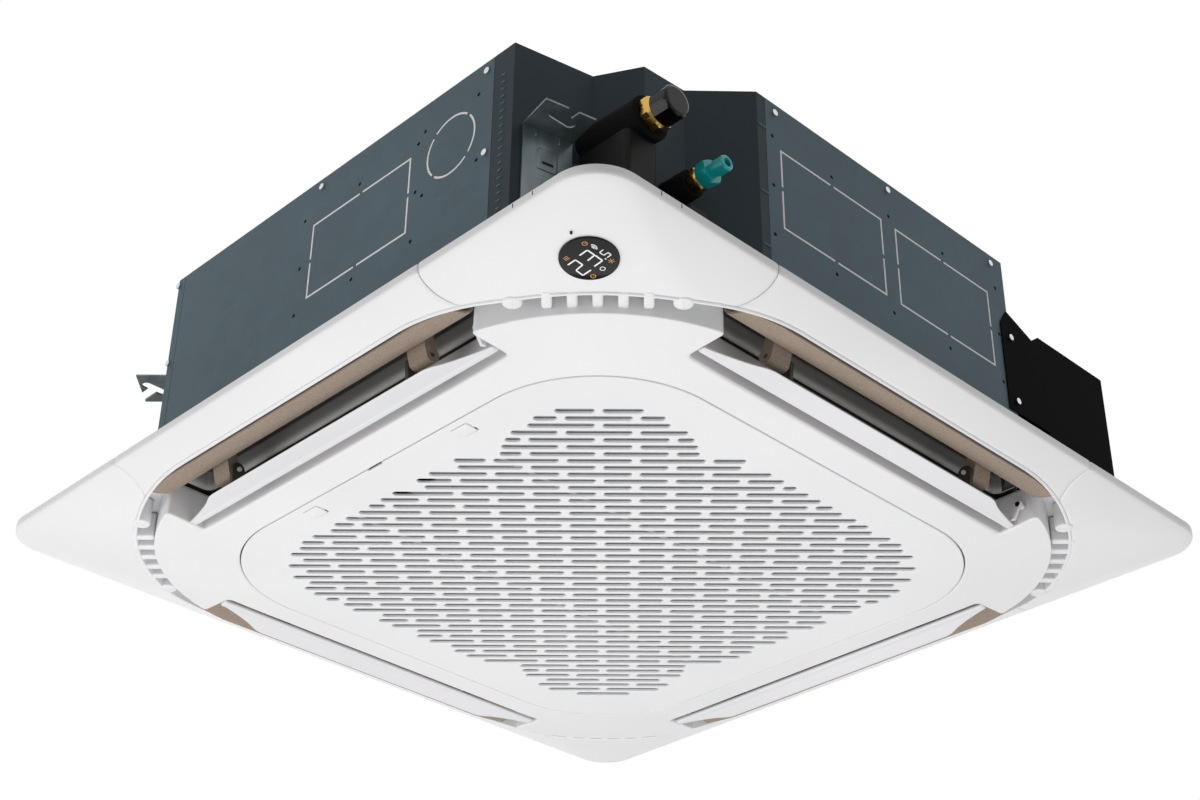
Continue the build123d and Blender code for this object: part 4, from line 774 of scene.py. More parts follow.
def slot_rows(pitch, period, length):
    """Centres along the row, row places and lengths of the grille's slots.

    The rows run across the diagonal, each half a period on from the last, and a rounded square with a
    half side of 273 mm cuts them off. What is left of a slot is kept when it is over 14 mm long.
    """
    half, corner, shortest, first_row, first_slot = 273.0, 100.0, 14.0, 8.5, 3.2
    middle = (half - corner) * math.sqrt(2)
    found = []
    for row in range(-32, 33):
        place = first_row + pitch * row
        reach = half * math.sqrt(2) - abs(place)
        if abs(place) < corner:
            reach = min(reach, middle + math.sqrt(corner**2 - place**2))
        if abs(place) > middle:
            past = min(abs(place) - middle, corner)
            reach = min(reach, math.sqrt(corner**2 - past**2))
        if reach <= 0:
            continue
        starts = first_slot + (period / 2 if row % 2 else 0) + period * np.arange(-10, 10)
        low, high = np.maximum(starts, -reach), np.minimum(starts + length, reach)
        kept = high - low > shortest
        found += [((a + b) / 2, place, b - a) for a, b in zip(low[kept], high[kept])]
    return found


def slot_outline(along, place, length, width, steps=7):
    """A slot with round ends on the diagonal: x = (u + v) / sqrt 2 and y = (u - v) / sqrt 2.

    Here u runs along its row and v across it.
    """
    turn = np.linspace(-math.pi / 2, math.pi / 2, steps)
    reach = length / 2 - width / 2
    u = np.concatenate([reach + width / 2 * np.cos(turn), -reach - width / 2 * np.cos(turn)]) + along
    v = np.concatenate([width / 2 * np.sin(turn), -width / 2 * np.sin(turn)]) + place
    return np.stack([(u + v), (u - v)], axis=1) / math.sqrt(2)


def grille_outline():
    """Edge of the grille: the seam's rounded square, a gap further in, with a pull notch at the front."""
    half, corner = SEAM[0] - GRILLE_GAP, SEAM[1] - GRILLE_GAP
    outline = rounded_outline(half, corner)
    notch = np.array([[-11, -half], [-10, 2 - half], [10, 2 - half], [11, -half]])
    front = (outline[:, 1] < 0.1 - half) & (np.abs(outline[:, 0]) < 17)
    first = int(np.flatnonzero(front)[0]) if front.any() else 10
    return np.concatenate([outline[:first], notch, outline[first:][~front[first:]]])


# ---- Shape of the display and the pipe stubs ------------------------------------------------------
DIGIT_BARS = (
    ((-17.8, -8.1), (-9.4, -8.0)),
    ((-9.0, -7.4), (-8.9, 0.2)),
    ((-9.3, 0.9), (-17.4, 1.6)),
    ((-18.2, 2.4), (-18.5, 9.8)),
    ((-17.9, 10.5), (-9.0, 10.6)),
    ((-1.9, -9.3), (6.6, -9.5)),
    ((7.3, -8.8), (7.4, -1.2)),
    ((6.7, -0.4), (-1.7, 0.1)),
    ((7.4, 0.6), (7.3, 8.6)),
    ((6.6, 9.2), (-2.6, 9.4)),
)
UNIT_BARS = (
    ((13.2, 0.0), (17.0, 0.0)),
    ((12.8, 0.6), (12.8, 4.5)),
    ((13.2, 5.2), (17.6, 5.3)),
    ((18.0, 5.8), (17.9, 8.8)),
    ((17.4, 9.3), (13.2, 9.3)),
)
ALONG_STUB = (1, 0, 0)


def display_plane():
    """Middle of the display on the panel's skin and its two directions, tipped outwards by 7 degrees."""
    middle = np.array([389.0, -399.0])
    height = float(skin(*middle[:, None], PILLOW)[0])
    tip = math.radians(7)
    down = np.array([*(middle / np.linalg.norm(middle) * math.sin(tip)), -math.cos(tip)])
    across = np.array([1.0, 0, 0]) - down[0] * down
    across /= np.linalg.norm(across)
    return np.array([*middle, height]), across, np.cross(across, down)


def stub_axis(nut):
    """Point on a stub's axis, in the middle of its nut."""
    low, high = node_box(nut)
    return (0.0, *((low + high) / 2)[1:])


def sleeve_profile(node, bore):
    """Section of a foam sleeve: wavy by radius + 0.35 sin(0.7 x), with a round 2 mm shoulder at its end."""
    low, high = node_box(node)
    start, end, outer = low[0], high[0], (high[2] - low[2]) / 2
    turn = np.linspace(0, math.pi / 2, 5)
    shoulder = [(end - 2 + 2 * math.sin(t), outer - 2 + 2 * math.cos(t)) for t in turn]
    side = [(x, outer + 0.35 * math.sin(x * 0.7)) for x in np.linspace(start, end - 2, 12)[:-1]]
    return [(start, bore), *side, *shoulder, (end, bore)]


# ---- Settings in the sidebar ----------------------------------------------------------------------
def paint(name, description, code):
    """A colour property, whose default is an sRGB hex value turned to linear."""
    return FloatVectorProperty(
        name=name, description=description, subtype="COLOR", size=3, min=0.0, max=1.0, default=linear(code)
    )


def length(name, description, size):
    """A length property, whose default is given in mm."""
    return FloatProperty(
        name=name, description=description, unit="LENGTH", precision=4, min=0.1 * MM, default=size * MM
    )


def in_mm(size):
    """A length property in mm, without the rounding of its storage."""
    return round(size / MM, 4)


class CassetteColours(bpy.types.PropertyGroup):
    """Colours of the finishes that a user would change."""

    casing: paint("Casing", "Passivated zinc of the casing walls", "#5a6c75")
    # The pipe corner's colour is painted shade: the casing's sheet, darkened for its recess.
    recess_shade: paint("Pipe corner", "Dark sheet behind the pipe stubs", "#343f45")
    panel: paint("Panel", "ABS of the panel, its covers and the grille", "#f0f0f1")
    vanes: paint("Vanes", "Plastic of the four vanes", "#ebebed")
    arms: paint("Vane arms", "Acetal of the arms that hold the vanes", "#45453a")
    felt: paint("Duct felt", "Felt on the lips of the outlets", "#a69688")
    plug: paint("Liquid plug", "Plug of the liquid pipe's nut", "#12b3b2")
    marks: paint("Indicator marks", "Small marks on the display", "#d89a46")


class CassetteSizes(bpy.types.PropertyGroup):
    """Sizes of the dressed pieces that a user would change."""

    slot_width: length("Slot width", "Width of a slot in the grille", 8.6)
    slot_length: length("Slot length", "Length of a whole slot in the grille", 66.0)
    slot_pitch: length("Slot row pitch", "Distance between two rows of slots", 13.6)
    slot_period: length("Slot period", "Distance from one slot to the next in its row", 73.3)
    vane_width: length("Vane width", "Width of a vane from its bead to its thin edge", 29.6)
    vane_tilt: FloatProperty(
        name="Vane tilt", description="Slope of a vane at rest", subtype="ANGLE", default=math.radians(10)
    )
    bead_width: length("Trim bead", "Width of the bead round the opening", 3.4)
    fin_width: length("Fin width", "Width of a fin in a corner gap", 10.0)
    fin_pitch: length("Fin pitch", "Distance between two fins in a corner gap", 23.0)
    display_radius: length("Display radius", "Radius of the round display window", 27.0)
    cut_width: length("Knockout cut", "Width of the cuts round the knockouts in the walls", 2.4)


class CassetteStage(bpy.types.PropertyGroup):
    """Light and backdrop of the picture."""

    backdrop: paint("Backdrop", "Colour behind the unit", "#ffffff")
    world_level: FloatProperty(
        name="Sky level", description="Strength of the even light round the unit", default=0.42, min=0.0
    )
    key_power: FloatProperty(
        name="Key lamp", description="Power of the large soft lamp", default=22.5, min=0.0, subtype="POWER"
    )
    floor_depth: FloatProperty(
        name="Floor depth", description="Depth of the floor below the ceiling", default=1.6, unit="LENGTH"
    )


class CASSETTE_OT_finishes(bpy.types.Operator):
    """Gives every CAD node the finish of its material slot, and the pipe corner its darker sheet, whose dark is
    painted shade.
    """

    bl_idname = "cassette.finishes"
    bl_label = "Finishes"

    def execute(self, context):
        colours = context.scene.cassette_colours
        made = finishes(colours)
        extra_finishes(colours)
        slots = {entry["node"]: entry["material_slot"] for entry in frame["record"]["subparts"]}
        for name, obj in NODES.items():
            obj.data.materials.clear()
            obj.data.materials.append(made[slots[name]])
        # The pipe corner's darker sheet is painted shade of the recess.
        NODES["casing_pipe_corner"].data.materials[0] = recess_shade_sheet(colours.recess_shade)
        return {"FINISHED"}


# ---- The pieces -----------------------------------------------------------------------------------
class CASSETTE_OT_panel(bpy.types.Operator):
    """The white panel: four side skins, four covers, the bead round the opening and the centre panel."""

    bl_idname = "cassette.panel"
    bl_label = "Panel"

    def execute(self, context):
        side, corner = panel_side(), panel_corner()
        plate_side, intake_side, thickness = 940, 660, 3.0
        outlet = round_rectangle(487, 47, 1, 1, (0, -380.5))
        plate = [
            round_rectangle(plate_side, plate_side, 43, 6),
            round_rectangle(intake_side, intake_side, 60, 6),
            *(outlet @ turned(-turn) for turn in SIDES.values()),
        ]
        plate_mesh = plate_with_holes("plate", plate, -thickness, thickness, 0.2, 1)
        shells = [tube(place_side(side, turn)) for turn in SIDES.values()]
        shells.append(mesh_shell(plate_mesh))
        skin_piece = new_piece(context, "panel_skin", shells, "white_abs_moulding")
        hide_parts("panel_frame")
        for name, turn in (("display", 0), ("right", 90), ("far", 180), ("left", 270)):
            shells = [tube(place_side(corner, turn))]
            cover = new_piece(context, f"cover_{name}", shells, "white_abs_moulding")
            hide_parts(f"corner_cover_{name}")
        width = in_mm(context.scene.cassette_sizes.bead_width)
        bead = new_piece(context, "opening_bead", [ring(bead_ring(width))], "white_abs_moulding")
        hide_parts("opening_trim")
        middle = new_piece(context, "centre_skin", [ring(centre_skin())], "white_abs_moulding")
        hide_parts("centre_panel")
        return {"FINISHED"}


class CASSETTE_OT_vanes(bpy.types.Operator):
    """The four vanes, each with its bead along the inner edge."""

    bl_idname = "cassette.vanes"
    bl_label = "Vanes"

    def execute(self, context):
        sizes = context.scene.cassette_sizes
        blade = vane_surface(in_mm(sizes.vane_width), sizes.vane_tilt)
        for name, turn in SIDES.items():
            shells = [tube(place_side(blade, turn))]
            vane = new_piece(context, f"blade_{name}", shells, "white_vane_moulding", f"vane_{name}")
            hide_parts(f"vane_{name}")
        return {"FINISHED"}


class CASSETTE_OT_arms(bpy.types.Operator):
    """The dark arms that hold each vane at its pins, and the white crank at the driven end."""

    bl_idname = "cassette.arms"
    bl_label = "Vane arms"

    def execute(self, context):
        hinge = next(joint for joint in frame["joints"] if joint["name"] == "vane_front_swing")
        pivot = np.array([-hinge["pos_m"][1], hinge["pos_m"][2]]) / MM
        arm_place, crank_place = 140.5, 232.5
        eye = circle(np.linspace(0, math.pi, 17))
        whole = circle(np.linspace(0, 2 * math.pi, 16, endpoint=False))
        arm = np.concatenate([eye * 8.0, [(-8, -4.0), (-13.5, -14.7), (-1, -16.4), (6, -18.4)]]) + pivot
        crank = np.concatenate([eye * 4.48, [(-13, -14.7), (-6, -15.9)]]) + pivot

        def upright(outline, levels, place, turn):
            points = stacked(outline, levels, (place, 0, 0), (0, -1, 0), (0, 0, 1))
            return tube(place_side(points, turn))

        for name, turn in SIDES.items():
            dark, pale = [], []
            for end in (-1, 1):
                dark.append(upright(arm, soft_levels(-2.5, 2.5, 0.8, 3), end * arm_place, turn))
                pin = soft_levels(-18.0, 5.0, 0.6, 3) if end > 0 else soft_levels(-5.0, 18.0, 0.6, 3)
                pale.append(upright(whole * 2.5 + pivot, pin, end * arm_place, turn))
            pale.append(upright(crank, soft_levels(-2, 2, 0.6, 3), crank_place, turn))
            pale.append(upright(whole * 3.0 + pivot, [(0, -7.5), (0, 2)], crank_place, turn))
            arms = new_piece(context, f"arm_plates_{name}", dark, "olive_acetal", f"vane_{name}")
            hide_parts(f"vane_arms_{name}")
            pins = new_piece(context, f"arm_pins_{name}", pale, "white_vane_moulding", f"vane_{name}")
        return {"FINISHED"}


class CASSETTE_OT_grille(bpy.types.Operator):
    """The intake grille with its diagonal rows of slots."""

    bl_idname = "cassette.grille"
    bl_label = "Grille"

    def execute(self, context):
        sizes = context.scene.cassette_sizes
        width = in_mm(sizes.slot_width)
        rows = slot_rows(in_mm(sizes.slot_pitch), in_mm(sizes.slot_period), in_mm(sizes.slot_length))
        outlines = [grille_outline()]
        outlines += [slot_outline(*slot, width) for slot in rows]
        outlines += [round_rectangle(23, 17, 1.2, 3, (x, LATCH_Y)) for x in LATCHES.values()]
        mesh = plate_with_holes("grille_plate", outlines, -48.0, 3.5, 0.9)
        grille = new_piece(context, "grille_face", [mesh_shell(mesh)], "white_abs_moulding", "grille", 50)
        facing = np.empty(len(grille.data.polygons) * 3)
        grille.data.polygons.foreach_get("normal", facing)
        grille.data.polygons.foreach_set("use_smooth", np.abs(facing[2::3]) < 0.999)
        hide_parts("intake_grille")
        return {"FINISHED"}


class CASSETTE_OT_latches(bpy.types.Operator):
    """The two grille latches: a low square button over each hole, its slider and its tongue behind."""

    bl_idname = "cassette.latches"
    bl_label = "Grille latches"

    def execute(self, context):
        for name, x in LATCHES.items():
            button = round_rectangle(21.2, 15.2, 1.6, 4, (x, LATCH_Y))
            slider = round_rectangle(22.0, 11.0, 0.8, 2, (x, LATCH_Y - 2.4))
            tongue = round_rectangle(14.0, 14.0, 0.8, 2, (x, LATCH_Y - 9.6))
            shells = [
                tube(stacked(button, [(0.9, -48.95), (0.35, -48.85), (0.0, -48.45), (0.0, -48.1)])),
                tube(stacked(slider, [(0.0, -48.2), (0.0, -42.0)])),
                tube(stacked(tongue, [(0.0, -44.1), (0.0, -41.9)])),
            ]
            latch = new_piece(context, f"latch_button_{name}", shells, "white_abs_moulding", f"latch_{name}")
            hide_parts(f"grille_latch_{name}")
        return {"FINISHED"}


class CASSETTE_OT_fins(bpy.types.Operator):
    """The short white fins and end bosses across the four corner gaps."""

    bl_idname = "cassette.fins"
    bl_label = "Corner fins"

    def execute(self, context):
        sizes = context.scene.cassette_sizes
        width, pitch = in_mm(sizes.fin_width), in_mm(sizes.fin_pitch)
        tab_half, tab_corner = TAB
        middle = (tab_half - tab_corner) * math.sqrt(2) + tab_corner + 9
        boss_place, boss_back = 77, 5
        fin, boss = round_rectangle(26, width, 3.0, 4), round_rectangle(19, 19, 9.4, 6)
        levels = soft_levels(-34, -4, 2.4)
        shells = []
        for turn in SIDES.values():
            angle = math.radians(turn - 45)
            out = np.array([math.cos(angle), math.sin(angle), 0])
            beside = np.array([-math.sin(angle), math.cos(angle), 0])
            for step in range(-2, 3):
                origin = out * middle + beside * pitch * step
                shells.append(tube(stacked(fin, levels, origin, out, beside)))
            for end in (-1, 1):
                origin = out * (middle - boss_back) + beside * boss_place * end
                shells.append(tube(stacked(boss, levels, origin, out, beside)))
        fins = new_piece(context, "gap_fins", shells, "white_abs_moulding")
        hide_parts("corner_fins")
        return {"FINISHED"}


class CASSETTE_OT_ducts(bpy.types.Operator):
    """The smooth grey walls of the four outlet ducts, above the panel, with a painted highlight and painted shade.
    """

    bl_idname = "cassette.ducts"
    bl_label = "Duct walls"

    def execute(self, context):
        shells = [ring(place_side(duct_wall(), turn)) for turn in SIDES.values()]
        walls = new_piece(context, "duct_walls", shells, "duct_polystyrene_painted_light")
        return {"FINISHED"}


class CASSETTE_OT_display(bpy.types.Operator):
    """The round gloss window on the near corner cover, with its digits and indicator marks."""

    bl_idname = "cassette.display"
    bl_label = "Display"

    def execute(self, context):
        place, across, along = display_plane()
        down = np.cross(along, across)
        turn = np.linspace(0, 2 * math.pi, 96, endpoint=False)
        whole = circle(turn)

        def on_glass(outline, levels=((0.0, -1.2), (0.0, -1.42))):
            return tube(stacked(outline, levels, place, across, along))

        def bezel(x, y):
            profile = [(-1.2, 1.9), (-1.42, 1.9), (-1.42, 2.6), (-1.2, 2.6)]
            return ring(lathe(profile, place + x * across + y * along, -down, 32))

        radius = in_mm(context.scene.cassette_sizes.display_radius)
        glass = [on_glass(whole * radius, [(0.0, 1.5), (0.0, -0.8), (0.25, -1.15), (0.8, -1.3)])]
        window = new_piece(context, "display_glass", glass, "gloss_black_plastic")
        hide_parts("display_window")

        shells = [on_glass(stroke(start, end, 1.45)) for start, end in DIGIT_BARS]
        shells += [on_glass(stroke(start, end, 1.0)) for start, end in UNIT_BARS]
        shells.append(on_glass(whole[::6] * 0.8 + (10.7, 9.5)))
        shells.append(bezel(0, 16.6))
        for reach in (1.6, 3.1, 4.6):
            bend = circle(np.linspace(-0.9, 1.1, 8))
            band = np.concatenate([bend * (reach + 0.4), bend[::-1] * (reach - 0.4)]) + (11.6, -8.4)
            shells.append(on_glass(band))
        digits = new_piece(context, "display_digits", shells, "white_segment")

        shells = []
        for x, y in ((11.5, -16.7), (-12.8, 17.6)):
            shells.append(bezel(x, y))
            shells.append(on_glass(stroke((x, y), (x + 1.1, y), 0.5, 3)))
        sun = np.array([12.4, 14.9])
        shells.append(on_glass(whole[::8] * 0.9 + sun))
        for tip in circle(np.linspace(0, 2 * math.pi, 6, endpoint=False)):
            shells.append(on_glass(stroke(tip * 1.5 + sun, tip * 2.9 + sun, 0.7, 3)))
        for x in (-15.1, -13.3, -11.5):
            shells.append(on_glass(stroke((x, -17.0), (x, -12.6), 0.7, 3)))
        marks = new_piece(context, "display_marks", shells, "amber_indicator")

        hole = on_glass(whole[::6] * 1.3 + (11.2, -32.8), [(0.0, 2.0), (0.0, -0.25)])
        sensor = new_piece(context, "receiver_hole", [hole], "gloss_black_plastic")
        return {"FINISHED"}


class CASSETTE_OT_stubs(bpy.types.Operator):
    """The two refrigerant stubs: foam sleeves, brass flare nuts, the gas pipe's cap and the plug."""

    bl_idname = "cassette.stubs"
    bl_label = "Pipe stubs"

    def execute(self, context):
        gas, liquid = stub_axis("gas_nut"), stub_axis("liquid_nut")
        for name, node, axis, bore in (
            ("gas_sleeve", "gas_insulation", gas, 7.9),
            ("liquid_sleeve", "liquid_insulation", liquid, 4.8),
        ):
            shells = [ring(lathe(sleeve_profile(node, bore), axis, ALONG_STUB, 64))]
            sleeve = new_piece(context, name, shells, "black_pipe_foam")
            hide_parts(node)
        for name, node, axis in (
            ("gas_flare_nut", "gas_nut", gas),
            ("liquid_flare_nut", "liquid_nut", liquid),
        ):
            low, high = node_box(node)
            start, end, flat = low[0], high[0], (high[2] - low[2]) / 2
            full = flat / math.cos(math.pi / 6)
            levels = [(start, flat - 0.6), (start + 0.3, flat - 0.2), (start + 1.6, full)]
            levels += [(end - 2.6, full), (end - 0.6, flat - 0.6), (end, flat - 0.9)]
            shells = [tube(prism(6, flat, levels, axis, ALONG_STUB))]
            nut = new_piece(context, name, shells, "machined_brass", sharp=25)
            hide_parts(node)

        start = node_box("gas_cap")[0][0]
        rounds = [(0, 16.4), (0.6, 17.1), (1.2, 17.5), (18.4, 17.5), (20.0, 16.9), (21.2, 15.6), (22.0, 13.6)]
        levels = [(start + distance, limit) for distance, limit in rounds]
        shells = [tube(prism(10, 16.7, levels, gas, ALONG_STUB, 80))]
        cap = new_piece(context, "gas_stub_cap", shells, "gloss_black_plastic", sharp=14)
        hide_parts("gas_cap")

        start = node_box("liquid_plug")[0][0]
        hexagon = [(0, 12.6), (1.0, 13.7), (10.8, 13.7), (12.0, 12.4)]
        nose = [(11.5, 3.2), (11.5, 7.0), (16.6, 7.0), (17.2, 7.9), (18.2, 8.4), (29.4, 8.4), (30.5, 7.8)]
        nose += [(31.0, 6.8), (31.0, 4.6), (24.0, 4.6), (24.0, 3.2)]
        hexagon = [(start + distance, limit) for distance, limit in hexagon]
        nose = [(start + distance, radius) for distance, radius in nose]
        shells = [tube(prism(6, 12.0, hexagon, liquid, ALONG_STUB)), ring(lathe(nose, liquid, ALONG_STUB))]
        plug = new_piece(context, "liquid_stub_plug", shells, "teal_plug_plastic", sharp=25)
        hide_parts("liquid_plug")
        return {"FINISHED"}


class CASSETTE_OT_knockouts(bpy.types.Operator):
    """White strips in the cuts round the knockouts in the casing walls: a painted highlight of the bright cut
    edges.
    """

    bl_idname = "cassette.knockouts"
    bl_label = "Knockout cuts"

    def execute(self, context):
        wide = in_mm(context.scene.cassette_sizes.cut_width)
        bridge, clear = 2.4, 0.3
        behind, depth = 417.9, [(0.0, 0.0), (0.0, 1.9)]
        front = ((0, -behind, 0), (1, 0, 0), (0, 0, 1))
        right = ((behind, 0, 0), (0, 1, 0), (0, 0, 1))
        shells = []
        for wall, (left, end, low, high) in (
            (front, (-8, 152, 112, 207)),
            (right, (-169, -9, 110, 208)),
            (right, (12, 175, 110, 208)),
        ):
            middle = np.array([left + end, low + high]) / 2
            reach_x, reach_y = np.array([end - left, high - low]) / 2 - clear
            level = round_rectangle(reach_x - bridge, wide, 0.3, 1)
            upright = round_rectangle(wide, reach_y - bridge - wide, 0.3, 1)
            level_place = np.array([(reach_x + bridge) / 2, reach_y - wide / 2])
            upright_place = np.array([reach_x - wide / 2, (reach_y + bridge - wide) / 2])
            for sides in ((1, 1), (1, -1), (-1, 1), (-1, -1)):
                for bar, place in ((level, level_place), (upright, upright_place)):
                    shells.append(tube(stacked(bar + middle + np.array(sides) * place, depth, *wall)))
        # Painted highlight along the straight cuts.
        strips = new_piece(context, "knockout_cut_highlights", shells, "knockout_cut_highlight")

        centre, outer, inner, gap = (213, 187), 36.2, 33.8, 0.075
        shells = []
        for quarter in range(4):
            start = math.pi / 4 + quarter * math.pi / 2
            bend = circle(np.linspace(start + gap, start + math.pi / 2 - gap, 16))
            band = np.concatenate([bend * outer, bend[::-1] * inner]) + centre
            shells.append(tube(stacked(band, depth, *front)))
        # Painted highlight along the round cut.
        collar = new_piece(context, "round_knockout_cut_highlight", shells, "knockout_cut_highlight")
        return {"FINISHED"}


class CASSETTE_OT_pressings(bpy.types.Operator):
    """Pressed marks of the near hanger, the edge ribs of the casing, and black strips for the slits in both, whose
    dark is painted shade.
    """

    bl_idname = "cassette.pressings"
    bl_label = "Pressings and slits"

    def execute(self, context):
        # The hanger's leg stands on the first step of the pipe corner, which runs askew to the walls.
        up = (0, 0, 1)
        step_start, step_run = np.array([303.0, -420.0, 0.0]), np.array([18.0, 87.5, 0.0])
        along = step_run / np.linalg.norm(step_run)
        out = np.array([along[1], -along[0], 0.0])
        leg_front, leg_middle = 2.3, 38.4
        face = step_start + leg_front * out + leg_middle * along

        def on_hanger(outline, levels):
            return tube(stacked(outline, levels, face, along, up))

        pad = [(0.0, -0.2), (0.0, 0.35), (0.35, 0.75), (1.0, 0.95), (1.6, 0.95)]
        bend_rib = [(0.0, -0.2), (0.1, 0.6), (0.6, 1.1), (1.2, 1.3)]
        shells = [on_hanger(round_rectangle(22, 25, 3, 5, (0, 131)), pad)]
        shells += [on_hanger(round_rectangle(3.2, 9, 1.5, 5, (x, 160.5)), bend_rib) for x in (-13, 13)]
        hanger = new_piece(context, "hanger_pressings", shells, "zinc_plated_steel")

        # Black strips proud of the hanger and of the rim stand for slits: their dark is painted shade of the
        # openings.
        shells = []
        for height, proud in ((127, 1.1), (101, 0.15)):
            slit = round_rectangle(13, 3.0, 1.0, 4, (0, height))
            shells.append(on_hanger(slit, [(0.0, -0.2), (0.0, proud)]))
        clip, clip_depth = round_rectangle(1.0, 4.6, 0.3, 2, (0, -3.2)), [(0.0, -0.3), (0.0, 0.12)]
        half = RIM[0]
        for place in (372.0, 397.0):
            shells.append(tube(stacked(clip, clip_depth, (place, -half, 0), (1, 0, 0), up)))
            shells.append(tube(stacked(clip, clip_depth, (half, -place, 0), (0, 1, 0), up)))
        slits = new_piece(context, "slit_painted_shade", shells, "black_abs_moulding")

        shells = []
        wall = node_box("casing_pipe_corner")[1][0]
        ridge = [(0.0, -0.2), (0.1, 0.5), (0.5, 0.9), (0.9, 1.0)]
        for height in (223, 141, 77):
            rib = round_rectangle(13, 2.4, 1.1, 4, (-194.5, height))
            shells.append(tube(stacked(rib, ridge, (wall, 0, 0), (0, 1, 0), up)))
        for height in range(60, 236, 9):
            rib = round_rectangle(6.5, 2.2, 1.0, 4, (288, height))
            shells.append(tube(stacked(rib, ridge[:3], (0, -wall, 0), (1, 0, 0), up)))
        ribs = new_piece(context, "casing_ribs", shells, "galvanised_steel_sheet")
        return {"FINISHED"}


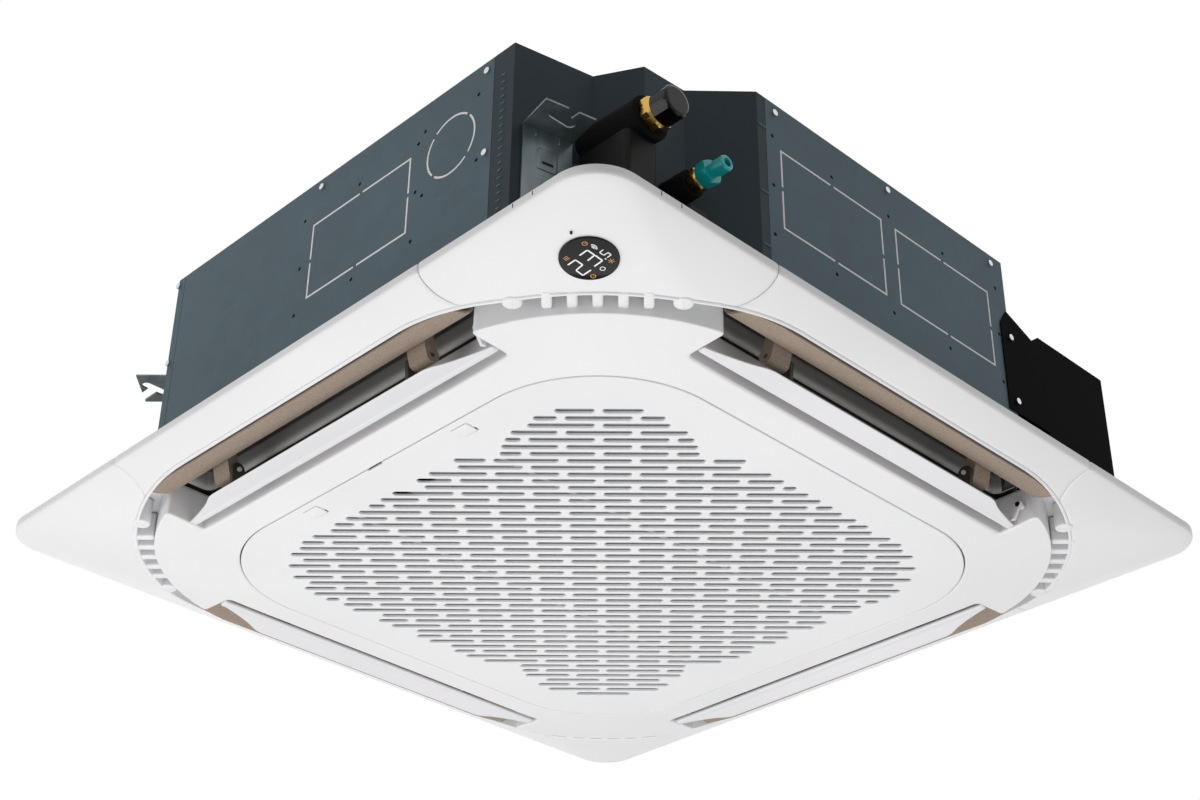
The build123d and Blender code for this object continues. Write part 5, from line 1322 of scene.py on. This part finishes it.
class CASSETTE_OT_stage(bpy.types.Operator):
    """Sets up the floor, the sky, the lamps and the camera at the photograph's angle."""

    bl_idname = "cassette.stage"
    bl_label = "Stage"

    def execute(self, context):
        settings = context.scene.cassette_stage
        floor = bpy.data.meshes.new("floor")
        reach, low = 9.0, -settings.floor_depth
        corners = [(-reach, -reach, low), (reach, -reach, low), (reach, reach, low), (-reach, reach, low)]
        floor.from_pydata(corners, [], [(0, 1, 2, 3)])
        pale, tree, surface, place = material("pale_floor", linear("#f2f2f2"), 0.7)
        noise = add(tree, "ShaderNodeTexNoise", {"Vector": place}, Scale=3.0)
        tint(tree, surface, noise.outputs["Fac"], linear("#efefef"), linear("#f4f4f4"))
        floor.materials.append(pale)
        ground = bpy.data.objects.new("floor", floor)
        context.scene.collection.objects.link(ground)

        # The backdrop is what the camera, glass and gloss see, and the rest is lit by the even light.
        sky = bpy.data.worlds.new("sky")
        sky.use_nodes = True
        context.scene.world = sky
        tree = sky.node_tree
        tree.nodes.clear()
        rays = add(tree, "ShaderNodeLightPath")
        links = {0: rays.outputs["Is Camera Ray"], 1: rays.outputs["Is Transmission Ray"]}
        clear = add(tree, "ShaderNodeMath", links, operation="MAXIMUM")
        links = {0: clear.outputs[0], 1: rays.outputs["Is Glossy Ray"]}
        seen = add(tree, "ShaderNodeMath", links, operation="MAXIMUM")
        plain = add(tree, "ShaderNodeBackground", Strength=settings.world_level)
        white = add(tree, "ShaderNodeBackground", Color=(*settings.backdrop, 1.0), Strength=1.0)
        links = {0: seen.outputs[0], 1: plain.outputs[0], 2: white.outputs[0]}
        mixed = add(tree, "ShaderNodeMixShader", links)
        add(tree, "ShaderNodeOutputWorld", {"Surface": mixed.outputs[0]})

        target = Vector((0, 0, 0.05))
        for name, place, share, size in (
            ("key", (-1.4, -2.4, -0.9), 1.0, 1.8),
            ("fill", (2.4, 1.6, -1.2), 0.25, 1.8),
            ("below", (0.0, 0.0, -1.5), 1.0, 2.8),
        ):
            lamp = bpy.data.lights.new(name, "AREA")
            lamp.energy, lamp.size, lamp.shape = share * settings.key_power, size, "DISK"
            holder = bpy.data.objects.new(name, lamp)
            holder.location = place
            holder.rotation_euler = (target - Vector(place)).to_track_quat("-Z", "Y").to_euler()
            context.scene.collection.objects.link(holder)

        # The camera was fitted to the edges of the panel and the top edges of the casing, at 950 and 840 mm.
        azimuth, elevation, roll = math.radians(45.81), math.radians(32.04), math.radians(0.65)
        focal_pixels, picture_width = 2018.4, 1200
        level = math.cos(elevation)
        forward = Vector((-math.sin(azimuth) * level, math.cos(azimuth) * level, math.sin(elevation)))
        right = forward.cross(Vector((0, 0, 1))).normalized()
        up = right.cross(forward)
        across = right * math.cos(roll) + up * math.sin(roll)
        top = up * math.cos(roll) - right * math.sin(roll)
        lens = bpy.data.cameras.new("camera")
        lens.sensor_width = 36.0
        lens.lens = focal_pixels / picture_width * lens.sensor_width
        lens.clip_start, lens.clip_end = 0.05, 60.0
        camera = bpy.data.objects.new("camera", lens)
        turn = Matrix((across, top, -forward)).transposed().to_4x4()
        camera.matrix_world = Matrix.Translation((1.4189, -1.3851, -1.0664)) @ turn
        context.scene.collection.objects.link(camera)
        context.scene.camera = camera
        context.scene.view_settings.view_transform = "Standard"
        return {"FINISHED"}


OPERATORS = (
    CASSETTE_OT_finishes,
    CASSETTE_OT_panel,
    CASSETTE_OT_vanes,
    CASSETTE_OT_arms,
    CASSETTE_OT_grille,
    CASSETTE_OT_latches,
    CASSETTE_OT_fins,
    CASSETTE_OT_ducts,
    CASSETTE_OT_display,
    CASSETTE_OT_stubs,
    CASSETTE_OT_knockouts,
    CASSETTE_OT_pressings,
    CASSETTE_OT_stage,
)
SETTINGS = {
    "cassette_colours": CassetteColours,
    "cassette_sizes": CassetteSizes,
    "cassette_stage": CassetteStage,
}


class CASSETTE_PT_sidebar(bpy.types.Panel):
    """Lists the steps that build the unit, and its sizes, colours and light."""

    bl_label = "Ceiling cassette"
    bl_idname = "CASSETTE_PT_sidebar"
    bl_space_type = "VIEW_3D"
    bl_region_type = "UI"
    bl_category = "Cassette"

    def draw(self, context):
        for operator in OPERATORS:
            self.layout.operator(operator.bl_idname)
        for place, group in SETTINGS.items():
            for name in group.__annotations__:
                self.layout.prop(getattr(context.scene, place), name)


def register():
    """Registers the classes and hangs the settings on the scene."""
    for entry in (*SETTINGS.values(), *OPERATORS, CASSETTE_PT_sidebar):
        bpy.utils.register_class(entry)
    for place, group in SETTINGS.items():
        setattr(bpy.types.Scene, place, PointerProperty(type=group))


def unregister():
    """Takes back what register did."""
    for place in SETTINGS:
        delattr(bpy.types.Scene, place)
    for entry in (CASSETTE_PT_sidebar, *reversed(OPERATORS), *SETTINGS.values()):
        bpy.utils.unregister_class(entry)


def main():
    """Builds the unit and its stage."""
    register()
    for operator in OPERATORS:
        group, name = operator.bl_idname.split(".")
        getattr(getattr(bpy.ops, group), name)()


if __name__ == "__main__":
    main()
